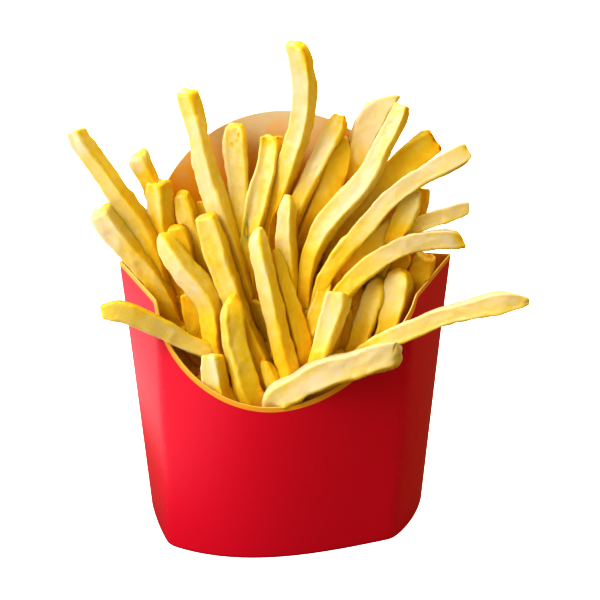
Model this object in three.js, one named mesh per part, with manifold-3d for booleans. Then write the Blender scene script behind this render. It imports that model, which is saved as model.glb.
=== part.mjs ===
// French fries in a folded board carton, in millimetres.
// +Z is up, +Y points to the tall back panel and the origin is on the floor, under the middle.
// The carton is one thin shell of creased board: a curved front with a scooped edge,
// two flat sides, a bowed back that ends in a round lobe, and a flat bottom.
// The fries are one solid: a core that fills the carton and single fries fused onto it.
import * as THREE from "three";
import { mergeVertices } from "three/addons/utils/BufferGeometryUtils.js";
import Module from "manifold-3d";

const wasm = await Module();
wasm.setup();

// ---- Board ----
const BOARD = 0.5; // thickness
const WALL_ROWS = 3; // bands of faces between the bottom and the edge

// ---- Back panel, from corner crease to corner crease ----
const SHOULDER_Z = 84; // height of the two back corners
const BACK_HALF = { bottom: 44.5, shoulder: 52.5 };
const BACK_Y = { bottom: 9.5, shoulder: 13.8 };
const BACK_BOW = 6; // how far the middle stands out behind the corners
const LOBE_R = 41;
const LOBE_Z = 88.7; // height of the lobe's centre
const LOBE_X = -1;
const LOBE_STEPS = 26;
const FILLET_STEPS = 4;

// ---- Front panel, from crease to crease ----
const CREASE_Z = 79.2; // height where the scoop starts on each front crease
const FRONT_HALF = { bottom: 35.7, crease: 39.8 };
const FRONT_X = { bottom: -3.3, crease: -1 };
const FRONT_Y = { bottom: -19, crease: -9.2 };
const FRONT_BULGE = { bottom: 10, crease: 15 };
const FRONT_SKEW = { bottom: 0.18, crease: 0.12 }; // moves the bulge to the left
const SCOOP_Z = 50.2; // lowest point of the scoop
const SCOOP_AT = -0.1; // where it is, from -1 at the left crease to 1 at the right
const SCOOP_ROUND = { left: 1, right: 0.5 }; // 1 is an ellipse, 0 a parabola
const FRONT_STEPS = 30;
const FRONT_CROWDING = 0.7; // 0 spaces the columns evenly, 1 crowds them at the creases

// ---- Side panels ----
const SIDE_SWELL = { left: 0.6, right: 1.8 }; // how far a side swells out at the bottom
const SIDE_STEPS = 4;

// ---- Fries ----
const AIR = 0.35; // clear space between the fries and the board
const CORE_FRONT_Z = 42; // height of the core at y = CORE_FRONT_Y
const CORE_FRONT_Y = -26;
const CORE_SLOPE = 0.62; // rise of the core towards the back
const LEVEL_ROUNDS = 6; // rounds to find where a leaning wall meets the core's top
const SINK = 5; // how far a fry's root goes into the core
const ROOT_PULL = 0.62; // a root's x as a share of its foot's x
const ROOT_Y = { least: -17, most: 9 };
const CURVE_POINTS = 6;
const SEGMENT = 9; // length of one straight stretch of a fry
const SIDE_JITTER = 0.06; // share by which a side varies along a fry
const TURN = 0.35; // most that a fry is turned about its own length, in radians
const CUT = 0.3; // most that an end slants where the table gives no cut
const FILL_SIDE = 7;
const SEED = 20416;
const MERGE_MM = 1e-4;

// A fry that shows. tip and foot end its visible stretch, bow is how far along x and z it bends
// away from a straight line, side is the width of its square section, and late, where given,
// moves the bend towards the foot (above 1) or the tip (below 1). cut slants the tip.
const SHOWN = [
  // Standing against the back panel, left to right.
  { tip: [-31, 13, 139], foot: [-12, -1, 72], bow: [-1.6, 0], side: 5.8 },
  { tip: [-15, 14, 128], foot: [-14, 7, 91], bow: [0, 0], side: 6.6 },
  { tip: [-4, 12, 125], foot: [-13, 3, 84], bow: [-0.8, 0], side: 6.2 },
  { tip: [1, 11, 153], foot: [-5, 8, 96], bow: [6.8, 0], side: 5.8, late: 0.75 },
  { tip: [17, 14, 129], foot: [1, 6, 92], bow: [-1, 0.4], side: 6.6 },
  { tip: [31, 14, 135], foot: [11, 9, 103], bow: [-0.7, 0.4], side: 6.8, cut: 1.3 },
  { tip: [46, 12, 123], foot: [15, 5, 93], bow: [-1.9, 1.9], side: 6.8 },
  // Fanned out to the left.
  { tip: [-64, 8, 127], foot: [-42, 12, 87], bow: [0.9, 0.3], side: 6 },
  { tip: [-46, 9, 121], foot: [-37, 8, 103], bow: [0, 0], side: 5 },
  { tip: [-39, 5, 113], foot: [-37, 5, 95], bow: [0, 0], side: 6.4 },
  { tip: [-33, 9, 108], foot: [-27, 8, 89], bow: [0, 0], side: 5 },
  { tip: [-36, 2, 100], foot: [-31, 1, 83], bow: [0, 0], side: 5.8 },
  { tip: [-58, 9, 102], foot: [-37, 8, 67], bow: [0.5, 0.3], side: 6.2 },
  // Middle, from the left.
  { tip: [-39, -4, 98], foot: [-23, -11, 65], bow: [6.2, 0], side: 6, late: 2 },
  { tip: [-30, -6, 80], foot: [-26, -8, 64], bow: [0, 0], side: 5.6 },
  { tip: [-26, -1, 104], foot: [-7, -15, 53], bow: [0, 0], side: 6.8 },
  { tip: [1, 2, 110], foot: [-1, 0, 88], bow: [-0.5, 0], side: 4.2 },
  { tip: [-4, -3, 94], foot: [3, -12, 61], bow: [0, 0], side: 5.8 },
  { tip: [35, 9, 134], foot: [4, -4, 76], bow: [-6.2, 0], side: 6.6, late: 2 },
  // Fanned out to the right.
  { tip: [55, 6, 120], foot: [11, -5, 81], bow: [-3.7, 4.2], side: 6 },
  { tip: [40, 10, 107], foot: [31, 6, 95], bow: [0, 0], side: 6.2 },
  { tip: [43, 13, 108], foot: [38, 11, 94], bow: [0, 0], side: 5.6 },
  { tip: [55, 6, 101], foot: [29, 2, 93], bow: [0, 0.3], side: 4.6, cut: 0.5 },
  { tip: [54, 2, 93], foot: [15, -9, 81], bow: [-1.9, 5.2], side: 6 },
  { tip: [44, 7, 86], foot: [41, 6, 74], bow: [0, 0], side: 6 },
  // Front, inside the scoop, from the left.
  { tip: [-25, -17, 65], foot: [-22, -17, 54], bow: [0, 0], side: 6 },
  { tip: [-19, -15, 82], foot: [-13, -19, 51], bow: [-1, 0], side: 6.4, cut: 0.5 },
  { tip: [-9, -6, 102], foot: [-2, -17, 60], bow: [-0.9, 0], side: 6 },
  { tip: [9, -2, 79], foot: [6, -6, 67], bow: [0, 0], side: 5.6 },
  { tip: [13, -4, 86], foot: [5, -9, 63], bow: [0, 0], side: 4.2 },
  { tip: [16, -11, 82], foot: [8, -17, 57], bow: [0, 0], side: 7.2 },
  { tip: [28, -3, 82], foot: [21, -8, 65], bow: [0, 0], side: 6.2 },
  { tip: [35, -3, 85], foot: [31, -8, 68], bow: [0.5, 0], side: 7 },
  // Lying over the front edge.
  { tip: [-57, -17, 80], foot: [-23, -11, 61], bow: [1.2, 2.4], side: 6 },
  { tip: [70, -27, 83], foot: [21, -15, 63], bow: [-1.1, 3.2], side: 6, cut: 0.6 },
  { tip: [32, -22, 65], foot: [-5, -21, 51], bow: [-1.1, 3], side: 8 },
];

// Rows of fries that fill the heap behind the ones above. top is the height of their ends.
const FILL_ROWS = [
  { y: -14, top: 52, count: 6, spread: 22 },
  { y: -8, top: 64, count: 8, spread: 30 },
  { y: -1, top: 78, count: 9, spread: 34 },
  { y: 6, top: 90, count: 9, spread: 37 },
  { y: 12, top: 96, count: 7, spread: 28 },
];
const FILL_FAN = 0.28; // sideways lean of a fry for each mm it stands from the middle
const FILL_DROP = 14; // how much lower the ends of a row are than its middle
const FILL_JITTER = { x: 2.2, y: 1.6, z: 5 };

// A seeded generator of numbers from 0 to 1.
function seeded(seed) {
  let state = seed >>> 0;
  return () => {
    state = (state + 0x6d2b79f5) >>> 0;
    let t = state;
    t = Math.imul(t ^ (t >>> 15), t | 1);
    t ^= t + Math.imul(t ^ (t >>> 7), t | 61);
    return ((t ^ (t >>> 14)) >>> 0) / 4294967296;
  };
}

const mix = THREE.MathUtils.lerp;

// ---- Panels: points on the outside of the board at height z ----

// t runs from -1 at the left corner to 1 at the right one.
function backPoint(t, z) {
  const k = z / SHOULDER_Z;
  const x = t * mix(BACK_HALF.bottom, BACK_HALF.shoulder, k);
  const y = mix(BACK_Y.bottom, BACK_Y.shoulder, k) + BACK_BOW * (1 - t * t);
  return new THREE.Vector3(x, y, z);
}

function frontPoint(t, z) {
  const k = z / CREASE_Z;
  const skewed = t + mix(FRONT_SKEW.bottom, FRONT_SKEW.crease, k) * (1 - t * t);
  const bulge = mix(FRONT_BULGE.bottom, FRONT_BULGE.crease, k) * (1 - skewed * skewed);
  const x = mix(FRONT_X.bottom, FRONT_X.crease, k) + t * mix(FRONT_HALF.bottom, FRONT_HALF.crease, k);
  const y = mix(FRONT_Y.bottom, FRONT_Y.crease, k) - bulge;
  return new THREE.Vector3(x, y, z);
}

// hand is -1 for the left side and 1 for the right; r runs from 0 at the back to 1 at the front.
function sidePoint(hand, r, z) {
  const back = backPoint(hand, z);
  const front = frontPoint(hand, z);
  const along = front.clone().sub(back);
  const out = new THREE.Vector3(-along.y * hand, along.x * hand, 0).normalize();
  const most = hand < 0 ? SIDE_SWELL.left : SIDE_SWELL.right;
  const swell = most * Math.max(0, 1 - z / SHOULDER_Z) * 4 * r * (1 - r);
  return back.lerp(front, r).addScaledVector(out, swell);
}

// ---- Edge of the board ----

function scoopHeight(t) {
  const right = t > SCOOP_AT;
  const s = right ? (t - SCOOP_AT) / (1 - SCOOP_AT) : (SCOOP_AT - t) / (1 + SCOOP_AT);
  const ellipse = 1 - Math.sqrt(Math.max(0, 1 - s * s));
  const round = right ? SCOOP_ROUND.right : SCOOP_ROUND.left;
  return mix(SCOOP_Z, CREASE_Z, mix(s * s, ellipse, round));
}

// The back edge as [x, z] points, from the right corner over the lobe to the left corner.
function backEdge() {
  const fillet = LOBE_Z - SHOULDER_Z;
  const half = [];
  for (let i = 0; i <= FILLET_STEPS; i++) {
    const a = (Math.PI / 2) * (i / FILLET_STEPS);
    half.push([LOBE_R + fillet * (1 - Math.sin(a)), LOBE_Z - fillet * Math.cos(a)]);
  }
  const lobe = [];
  for (let i = 1; i < LOBE_STEPS; i++) {
    const a = (Math.PI * i) / LOBE_STEPS;
    lobe.push([LOBE_R * Math.cos(a), LOBE_Z + LOBE_R * Math.sin(a)]);
  }
  const mirrored = half.map(([x, z]) => [-x, z]).reverse();
  return [...half, ...lobe, ...mirrored].map(([x, z]) => [x + LOBE_X, z]);
}

// One column for each step round the carton: at(z) is its point on the board at height z.
function columns() {
  const list = [];
  for (let i = 0; i < FRONT_STEPS; i++) {
    const even = (2 * i) / FRONT_STEPS - 1;
    const t = mix(even, Math.sin((Math.PI / 2) * even), FRONT_CROWDING);
    list.push({ at: (z) => frontPoint(t, z), edge: scoopHeight(t) });
  }
  for (let i = 0; i < SIDE_STEPS; i++) {
    const r = 1 - i / SIDE_STEPS;
    list.push({ at: (z) => sidePoint(1, r, z), edge: mix(SHOULDER_Z, CREASE_Z, r) });
  }
  list.push({ at: (z) => backPoint(1, z), edge: SHOULDER_Z });
  for (const [x, z] of backEdge()) {
    const t = x / mix(BACK_HALF.bottom, BACK_HALF.shoulder, z / SHOULDER_Z);
    list.push({ at: (h) => backPoint(t, h), edge: z });
  }
  for (let i = 0; i < SIDE_STEPS; i++) {
    const r = i / SIDE_STEPS;
    list.push({ at: (z) => sidePoint(-1, r, z), edge: mix(SHOULDER_Z, CREASE_Z, r) });
  }
  return list;
}

// The point of column j at height z, moved inwards by depth with its corner kept sharp.
function inset(list, j, z, depth) {
  const here = list[j].at(z);
  const next = list[(j + 1) % list.length].at(z);
  const last = list[(j + list.length - 1) % list.length].at(z);
  const inward = (a, b) => new THREE.Vector3(a.y - b.y, b.x - a.x, 0).normalize();
  const one = inward(last, here);
  const two = inward(here, next);
  const mitre = one.clone().add(two).divideScalar(1 + one.dot(two));
  return here.addScaledVector(mitre, depth);
}

// ---- Meshes ----

// Collects points and faces into one indexed geometry.
class Skin {
  constructor() {
    this.points = [];
    this.faces = [];
  }

  point(p) {
    this.points.push(p.x, p.y, p.z);
    return this.points.length / 3 - 1;
  }

  // Joins two closed loops of vertices; the faces turn outwards when low runs anticlockwise.
  band(low, high) {
    for (let i = 0; i < low.length; i++) {
      const j = (i + 1) % low.length;
      this.faces.push(low[i], low[j], high[j], low[i], high[j], high[i]);
    }
  }

  // Closes a loop of vertices that lie in a plane that isn't upright.
  cap(loop, upwards) {
    const outline = loop.map((v) => new THREE.Vector2(this.points[3 * v], this.points[3 * v + 1]));
    for (const [a, b, c] of THREE.ShapeUtils.triangulateShape(outline, [])) {
      if (upwards) this.faces.push(loop[a], loop[b], loop[c]);
      else this.faces.push(loop[a], loop[c], loop[b]);
    }
  }

  // Closes a loop of four vertices.
  square([a, b, c, d]) {
    this.faces.push(a, b, c, a, c, d);
  }

  geometry() {
    const made = new THREE.BufferGeometry();
    made.setAttribute("position", new THREE.Float32BufferAttribute(this.points, 3));
    made.setIndex(this.faces);
    return made;
  }
}

// A loop of vertices round the carton, one for each column.
function loopAt(skin, list, heights, depth) {
  return list.map((column, j) => skin.point(inset(list, j, heights[j], depth)));
}

// Loops of vertices from height low up to each column's own height.
function wallLoops(skin, list, low, heights, depth) {
  const loops = [];
  for (let i = 0; i <= WALL_ROWS; i++) {
    const level = heights.map((high) => mix(low, high, i / WALL_ROWS));
    loops.push(loopAt(skin, list, level, depth));
  }
  return loops;
}

// A board wall of the given depths below its surface, open at the top and closed below.
function shell(list, outside, inside, lift) {
  const skin = new Skin();
  const edge = list.map((column) => column.edge + lift);
  const outer = wallLoops(skin, list, -lift, edge, outside);
  const inner = wallLoops(skin, list, BOARD + lift, edge, inside);
  for (let i = 0; i < WALL_ROWS; i++) {
    skin.band(outer[i], outer[i + 1]);
    skin.band(inner[i + 1], inner[i]);
  }
  skin.band(outer[WALL_ROWS], inner[WALL_ROWS]);
  skin.cap(outer[0], false);
  skin.cap(inner[0], true);
  return skin.geometry();
}

function cartonGeometry(list) {
  return shell(list, 0, BOARD, 0);
}

// The space that the fries keep out of: the board and a little air on both sides.
function keepOutGeometry(list) {
  return shell(list, -AIR, BOARD + AIR, AIR);
}

function coreHeight(y) {
  return CORE_FRONT_Z + CORE_SLOPE * (y - CORE_FRONT_Y);
}

// Fills the carton up to a plane that climbs towards the back.
function coreGeometry(list) {
  const skin = new Skin();
  const depth = BOARD + AIR;
  const heights = list.map((column, j) => {
    let z = CORE_FRONT_Z;
    for (let i = 0; i < LEVEL_ROUNDS; i++) z = coreHeight(inset(list, j, z, depth).y);
    return z;
  });
  const loops = wallLoops(skin, list, BOARD + AIR, heights, depth);
  for (let i = 0; i < WALL_ROWS; i++) skin.band(loops[i], loops[i + 1]);
  skin.cap(loops[0], false);
  skin.cap(loops[WALL_ROWS], true);
  return skin.geometry();
}

// ---- One fry ----

// The curve of a fry from its tip through its foot to its root in the core.
function fryCurve({ tip, foot, bow, late = 1 }) {
  const from = new THREE.Vector3(...tip);
  const to = new THREE.Vector3(...foot);
  const points = [];
  for (let i = 0; i <= CURVE_POINTS; i++) {
    const s = i / CURVE_POINTS;
    const sag = Math.sin(Math.PI * s ** late);
    const p = from.clone().lerp(to, s);
    p.x += bow[0] * sag;
    p.z += bow[1] * sag;
    points.push(p);
  }
  const y = THREE.MathUtils.clamp(to.y, ROOT_Y.least, ROOT_Y.most);
  const z = Math.min(to.z, coreHeight(y)) - SINK;
  points.push(new THREE.Vector3(ROOT_PULL * to.x, y, z));
  return new THREE.CatmullRomCurve3(points);
}

// A square-cut stick along the curve, with sides that vary a little and slanting ends.
function fryGeometry(curve, { side, cut }, random) {
  const skin = new Skin();
  const length = curve.getLength();
  const steps = Math.max(2, Math.round(length / SEGMENT));
  const turn = TURN * (2 * random() - 1);
  const slant = CUT * (2 * random() - 1);
  const up = new THREE.Vector3(0, -1, 0).applyAxisAngle(curve.getTangentAt(0), turn);
  const rings = [];
  for (let i = 0; i <= steps; i++) {
    const centre = curve.getPointAt(i / steps);
    const along = curve.getTangentAt(i / steps);
    const across = new THREE.Vector3().crossVectors(along, up).normalize();
    up.crossVectors(across, along).normalize();
    const a = (side / 2) * (1 + SIDE_JITTER * (2 * random() - 1));
    const b = (side / 2) * (1 + SIDE_JITTER * (2 * random() - 1));
    const tilt = i === 0 ? (cut ?? slant) : 0;
    const corners = [[a, b], [a, -b], [-a, -b], [-a, b]];
    const corner = ([u, v]) => {
      const p = centre.clone().addScaledVector(across, u).addScaledVector(up, v);
      return skin.point(p.addScaledVector(along, tilt * u));
    };
    rings.push(corners.map(corner));
  }
  for (let i = 0; i < steps; i++) skin.band(rings[i], rings[i + 1]);
  skin.square(rings[0].reverse());
  skin.square(rings[steps]);
  return skin.geometry();
}

// ---- The heap ----

// The fries of FILL_ROWS, standing on the core and fanned out from the middle.
function fillerFries(random) {
  const list = [];
  const spreadOf = (amount) => (2 * random() - 1) * amount;
  for (const { y, top, count, spread } of FILL_ROWS) {
    for (let i = 0; i < count; i++) {
      const s = (2 * (i + 0.5)) / count - 1;
      const x = s * spread + spreadOf(FILL_JITTER.x);
      const z = top - FILL_DROP * s * s + spreadOf(FILL_JITTER.z);
      const deep = y + spreadOf(FILL_JITTER.y);
      const rise = z - coreHeight(deep) + SINK;
      const tip = [x + FILL_FAN * s * rise, deep, z];
      const foot = [x, deep, coreHeight(deep)];
      list.push({ tip, foot, bow: [0, 0], side: FILL_SIDE });
    }
  }
  return list;
}

function manifoldOf(geometry) {
  const merged = mergeVertices(geometry, MERGE_MM);
  return new wasm.Manifold(
    new wasm.Mesh({
      numProp: 3,
      vertProperties: merged.attributes.position.array,
      triVerts: new Uint32Array(merged.index.array),
    }),
  );
}

function geometryOf(solid) {
  const mesh = solid.getMesh();
  const made = new THREE.BufferGeometry();
  made.setAttribute("position", new THREE.BufferAttribute(mesh.vertProperties, 3));
  made.setIndex(new THREE.BufferAttribute(mesh.triVerts, 1));
  made.computeVertexNormals();
  return made;
}

// The core with every fry fused on. The largest body is kept: the others are the walls of
// hollows that the fusing seals, and loose scraps.
function friesSolid(list) {
  const random = seeded(SEED);
  let heap = manifoldOf(coreGeometry(list));
  for (const fry of [...SHOWN, ...fillerFries(random)]) {
    heap = heap.add(manifoldOf(fryGeometry(fryCurve(fry), fry, random)));
  }
  heap = heap.subtract(manifoldOf(keepOutGeometry(list)));
  return heap.decompose().reduce((most, body) => (body.volume() > most.volume() ? body : most));
}

// ---- The part ----

const board = columns();

const carton = new THREE.Mesh(
  cartonGeometry(board),
  new THREE.MeshStandardMaterial({ color: 0xd8142c, roughness: 0.45, metalness: 0 }),
);
carton.geometry.computeVertexNormals();
carton.name = "carton";

const fries = new THREE.Mesh(
  geometryOf(friesSolid(board)),
  new THREE.MeshStandardMaterial({ color: 0xecc35a, roughness: 0.6, metalness: 0 }),
);
fries.name = "fries";

const group = new THREE.Group();
group.name = "fries_in_carton";
group.add(carton, fries);

export default group;
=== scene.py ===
"""French fries in a folded board carton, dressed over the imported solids.

Sizes in the classes are millimetres, as on a maker's drawing, and a mesh is turned into metres when
it is made. The studio is in metres. +Z is up, +Y points to the tall back panel and the origin is on
the floor under the middle.
"""

import logging
import math
from dataclasses import dataclass, field
from enum import Enum
from typing import Any, Iterator, Sequence

import bmesh
import bpy
import numpy as np
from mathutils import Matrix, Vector


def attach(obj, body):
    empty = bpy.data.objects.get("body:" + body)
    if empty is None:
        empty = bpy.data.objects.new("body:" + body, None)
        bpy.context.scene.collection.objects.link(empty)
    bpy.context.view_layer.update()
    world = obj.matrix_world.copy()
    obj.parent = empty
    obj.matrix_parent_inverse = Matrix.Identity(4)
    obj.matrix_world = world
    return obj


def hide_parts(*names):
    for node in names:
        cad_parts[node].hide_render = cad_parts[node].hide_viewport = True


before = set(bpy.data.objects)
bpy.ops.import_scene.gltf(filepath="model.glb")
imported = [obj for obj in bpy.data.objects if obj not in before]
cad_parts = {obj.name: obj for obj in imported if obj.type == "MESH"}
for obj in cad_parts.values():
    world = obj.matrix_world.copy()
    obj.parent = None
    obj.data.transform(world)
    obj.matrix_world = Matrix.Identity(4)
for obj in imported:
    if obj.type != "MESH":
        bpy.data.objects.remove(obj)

Array = np.ndarray
Triple = tuple[float, float, float]

MM = 0.001
BODY = "root"
MERGE_M = 1e-7

log = logging.getLogger("fries_in_carton")


# ---- Numbers and arrays ----


def mix(a: Any, b: Any, k: Any) -> Any:
    """The value a share k of the way from a to b."""
    return a + (b - a) * k


def smooth(low: float, high: float, x: Array) -> Array:
    """0 below low and 1 above high, with a cubic rise 3k^2 - 2k^3 between them."""
    k = np.clip((x - low) / (high - low), 0.0, 1.0)
    return k * k * (3.0 - 2.0 * k)


def unit(v: Array) -> Array:
    """Vectors along the last axis, each divided by its length."""
    return v / np.maximum(np.linalg.norm(v, axis=-1, keepdims=True), 1e-12)


def lattice_noise(points: Array, cell: float | Triple, seed: int) -> Array:
    """Smooth noise from -1 to 1.

    Space is cut into cells. A number is hashed from each cell corner, and a point blends the
    numbers of its eight corners with weights f or 1 - f, where f is its smoothed place 3k^2 - 2k^3
    in the cell.

    Args:
        points: places, shape (..., 3).
        cell: size of a cell, the same for all axes or one for each.
        seed: which noise of many.

    Returns:
        One number for each point.
    """
    scaled = points / np.asarray(cell, float)
    whole = np.floor(scaled).astype(np.int64)
    part = scaled - whole
    part = part * part * (3.0 - 2.0 * part)
    total = np.zeros(points.shape[:-1])
    for corner in range(8):
        step = np.array([corner >> 2 & 1, corner >> 1 & 1, corner & 1])
        at = whole + step
        mixed = at[..., 0] * 73856093 ^ at[..., 1] * 19349663 ^ at[..., 2] * 83492791
        mixed = (mixed ^ seed * 2654435761) & 0x7FFFFFFF
        mixed = (mixed ^ mixed >> 13) * 1274126177 & 0x7FFFFFFF
        mixed = (mixed ^ mixed >> 16) & 0xFFFF
        weight = np.prod(np.where(step == 1, part, 1.0 - part), axis=-1)
        total += weight * (mixed / 32767.5 - 1.0)
    return total


def seeded(seed: int) -> Iterator[float]:
    """An endless row of numbers from 0 to 1, the same row that the solids' heap is drawn from."""
    state = seed & 0xFFFFFFFF
    while True:
        state = (state + 0x6D2B79F5) & 0xFFFFFFFF
        t = state
        t = (t ^ t >> 15) * (t | 1) & 0xFFFFFFFF
        t ^= (t + ((t ^ t >> 7) * (t | 61) & 0xFFFFFFFF)) & 0xFFFFFFFF
        yield ((t ^ t >> 14) & 0xFFFFFFFF) / 4294967296


# ---- Meshes ----


@dataclass
class Patchwork:
    """Grids of points and their faces that become one mesh, with a number a point for each mark."""

    marks: tuple[str, ...]
    points: list[Array] = field(default_factory=list)
    faces: list[Array] = field(default_factory=list)
    values: dict[str, list[Array]] = field(default_factory=dict)
    count: int = 0

    def add(self, grid: Array, marks: dict[str, Array | float]) -> Array:
        """Adds a grid of closed rows of points, joined row to row.

        Args:
            grid: points in mm, shape (rows, columns, 3); faces point outwards when columns run
                anticlockwise seen from the side that the rows climb towards.
            marks: the number of each mark, for all points or for each; 0 where it isn't given.

        Returns:
            The index of each point in the mesh, shape (rows, columns).
        """
        rows, columns = grid.shape[:2]
        index = self.count + np.arange(rows * columns).reshape(rows, columns)
        self.points.append(grid.reshape(-1, 3))
        self.join(index[:-1], index[1:])
        for name in self.marks:
            value = np.broadcast_to(np.asarray(marks.get(name, 0.0), float), (rows, columns))
            self.values.setdefault(name, []).append(value.reshape(-1))
        self.count += rows * columns
        return index

    def join(self, low: Array, high: Array) -> None:
        """Joins closed rows of points that are in the mesh already, each to the one above it."""
        quads = np.stack([low, np.roll(low, -1, -1), np.roll(high, -1, -1), high], axis=-1)
        self.faces.append(quads.reshape(-1, 4))

    def piece(self, name: str, material: bpy.types.Material) -> bpy.types.Object:
        """Makes the mesh and its object, with closed poles, and sets it to ride.

        Args:
            name: name of the piece.
            material: its finish.

        Returns:
            The object.
        """
        mesh = bpy.data.meshes.new(name)
        points = np.concatenate(self.points) * MM
        quads = np.concatenate(self.faces)
        mesh.vertices.add(len(points))
        mesh.vertices.foreach_set("co", points.astype(np.float32).ravel())
        mesh.loops.add(quads.size)
        mesh.loops.foreach_set("vertex_index", quads.astype(np.int32).ravel())
        mesh.polygons.add(len(quads))
        mesh.polygons.foreach_set("loop_start", np.arange(0, quads.size, 4, dtype=np.int32))
        mesh.update(calc_edges=True)
        for mark in self.marks:
            layer = mesh.attributes.new(mark, "FLOAT", "POINT")
            layer.data.foreach_set("value", np.concatenate(self.values[mark]).astype(np.float32))
        self._merge(mesh)
        mesh.polygons.foreach_set("use_smooth", np.ones(len(mesh.polygons), bool))
        mesh.materials.append(material)
        made = bpy.data.objects.new(name, mesh)
        bpy.context.scene.collection.objects.link(made)
        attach(made, BODY)
        log.info("%s: %d faces", name, len(mesh.polygons))
        return made

    def _merge(self, mesh: bpy.types.Mesh) -> None:
        """Makes one point of the points that meet at a pole, and drops faces with no area."""
        work = bmesh.new()
        work.from_mesh(mesh)
        bmesh.ops.remove_doubles(work, verts=work.verts[:], dist=MERGE_M)
        bmesh.ops.dissolve_degenerate(work, edges=work.edges[:], dist=MERGE_M)
        work.to_mesh(mesh)
        work.free()
        mesh.validate(clean_customdata=False)


# ---- Shader maths ----


class Socket:
    """A shader value that Python expressions work on; each operator adds its Math node."""

    def __init__(self, sheet: "Sheet", link: Any) -> None:
        """Wraps one output of a node."""
        self.sheet = sheet
        self.link = link

    def __add__(self, other: Any) -> "Socket":
        """Sum."""
        return self.sheet.maths("ADD", self, other)

    __radd__ = __add__

    def __sub__(self, other: Any) -> "Socket":
        """Difference."""
        return self.sheet.maths("SUBTRACT", self, other)

    def __rsub__(self, other: Any) -> "Socket":
        """Difference from a number."""
        return self.sheet.maths("SUBTRACT", other, self)

    def __mul__(self, other: Any) -> "Socket":
        """Product."""
        return self.sheet.maths("MULTIPLY", self, other)

    __rmul__ = __mul__

    def between(self, low: float, high: float) -> "Socket":
        """0 below low and 1 above high, with a smooth rise; where low is higher, the other way."""
        settings = {"interpolation_type": "SMOOTHSTEP"}
        inputs = {"Value": self, "From Min": low, "From Max": high}
        return self.sheet.out("ShaderNodeMapRange", settings, inputs, "Result")

    def about(self, reach: float) -> "Socket":
        """A noise about 0.5 turned into one about 0, that goes half of reach to either side."""
        return (self - 0.5) * reach

    def clamped(self) -> "Socket":
        """The value held from 0 to 1."""
        return self.sheet.out("ShaderNodeClamp", {}, {"Value": self}, "Result")


class Sheet:
    """The nodes of one material, or of the world."""

    def __init__(self, owner: Any, shader: str = "Principled BSDF") -> None:
        """Takes a new material or world, and the name of the shader that it starts with."""
        owner.use_nodes = True
        self.owner = owner
        self.tree = owner.node_tree
        self.shader = self.tree.nodes[shader]

    def out(
        self, kind: str, settings: dict[str, Any], inputs: dict[Any, Any], output: str | int
    ) -> Socket:
        """Adds a node.

        Args:
            kind: Blender's type name.
            settings: properties that are set first; a ramp's stops come as "stops".
            inputs: a number, a colour or a Socket for each input, by name or place.
            output: name or place of the output that is used.

        Returns:
            That output.
        """
        made = self.tree.nodes.new(kind)
        for name, value in settings.items():
            if name == "stops":
                self._stops(made.color_ramp, value)
            else:
                setattr(made, name, value)
        for name, value in inputs.items():
            self._feed(made.inputs[name], value)
        return Socket(self, made.outputs[output])

    def _stops(self, ramp: Any, stops: Sequence[tuple[float, Triple]]) -> None:
        """Sets a ramp's stops, each a place and a colour."""
        while len(ramp.elements) < len(stops):
            ramp.elements.new(1.0)
        for element, (place, colour) in zip(ramp.elements, stops):
            element.position = place
            element.color = (*colour, 1.0)

    def _feed(self, socket: Any, value: Any) -> None:
        """Links a Socket, or sets a number or colour."""
        if isinstance(value, Socket):
            self.tree.links.new(value.link, socket)
        elif isinstance(value, tuple) and len(value) == 3 and socket.type == "RGBA":
            socket.default_value = (*value, 1.0)
        else:
            socket.default_value = value

    def maths(self, operation: str, a: Any, b: Any) -> Socket:
        """One Math node on two values."""
        return self.out("ShaderNodeMath", {"operation": operation}, {0: a, 1: b}, 0)

    def blend(self, share: Any, a: Any, b: Any) -> Socket:
        """Colour a where share is 0 and b where it is 1."""
        return self.out("ShaderNodeMix", {"data_type": "RGBA"}, {0: share, 6: a, 7: b}, 2)

    def ramp(self, value: Socket, stops: Sequence[tuple[float, Triple]]) -> Socket:
        """The colour of a ramp at the value."""
        return self.out("ShaderNodeValToRGB", {"stops": stops}, {"Fac": value}, "Color")

    def mark(self, name: str) -> Socket:
        """A number that the mesh carries at each point."""
        return self.out("ShaderNodeAttribute", {"attribute_name": name}, {}, "Fac")

    def place(self) -> Socket:
        """The object's own coordinates, in metres."""
        return self.out("ShaderNodeTexCoord", {}, {}, "Object")

    def height(self, place: Socket) -> Socket:
        """The z of a place, in metres."""
        return self.out("ShaderNodeSeparateXYZ", {}, {"Vector": place}, "Z")

    def noise(self, place: Socket, size_mm: float, detail: float) -> Socket:
        """Noise about 0.5 with spots of the given size."""
        inputs = {"Vector": place, "Scale": 1.0 / (size_mm * MM), "Detail": detail}
        return self.out("ShaderNodeTexNoise", {}, inputs, "Fac")

    def bump(self, height: Socket, depth_mm: float, strength: float) -> Socket:
        """A normal tilted by a height from 0 to 1 that stands for the given depth."""
        inputs = {"Height": height, "Distance": depth_mm * MM, "Strength": strength}
        return self.out("ShaderNodeBump", {}, inputs, "Normal")

    def ray(self, kind: str) -> Socket:
        """1 for rays of a kind, and 0 for the others."""
        return self.out("ShaderNodeLightPath", {}, {}, f"Is {kind} Ray")

    def finish(self, **inputs: Any) -> Any:
        """Feeds the shader; an input's name is written with _ for each space."""
        for name, value in inputs.items():
            self._feed(self.shader.inputs[name.replace("_", " ")], value)
        return self.owner


# ---- Finishes ----


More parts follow.
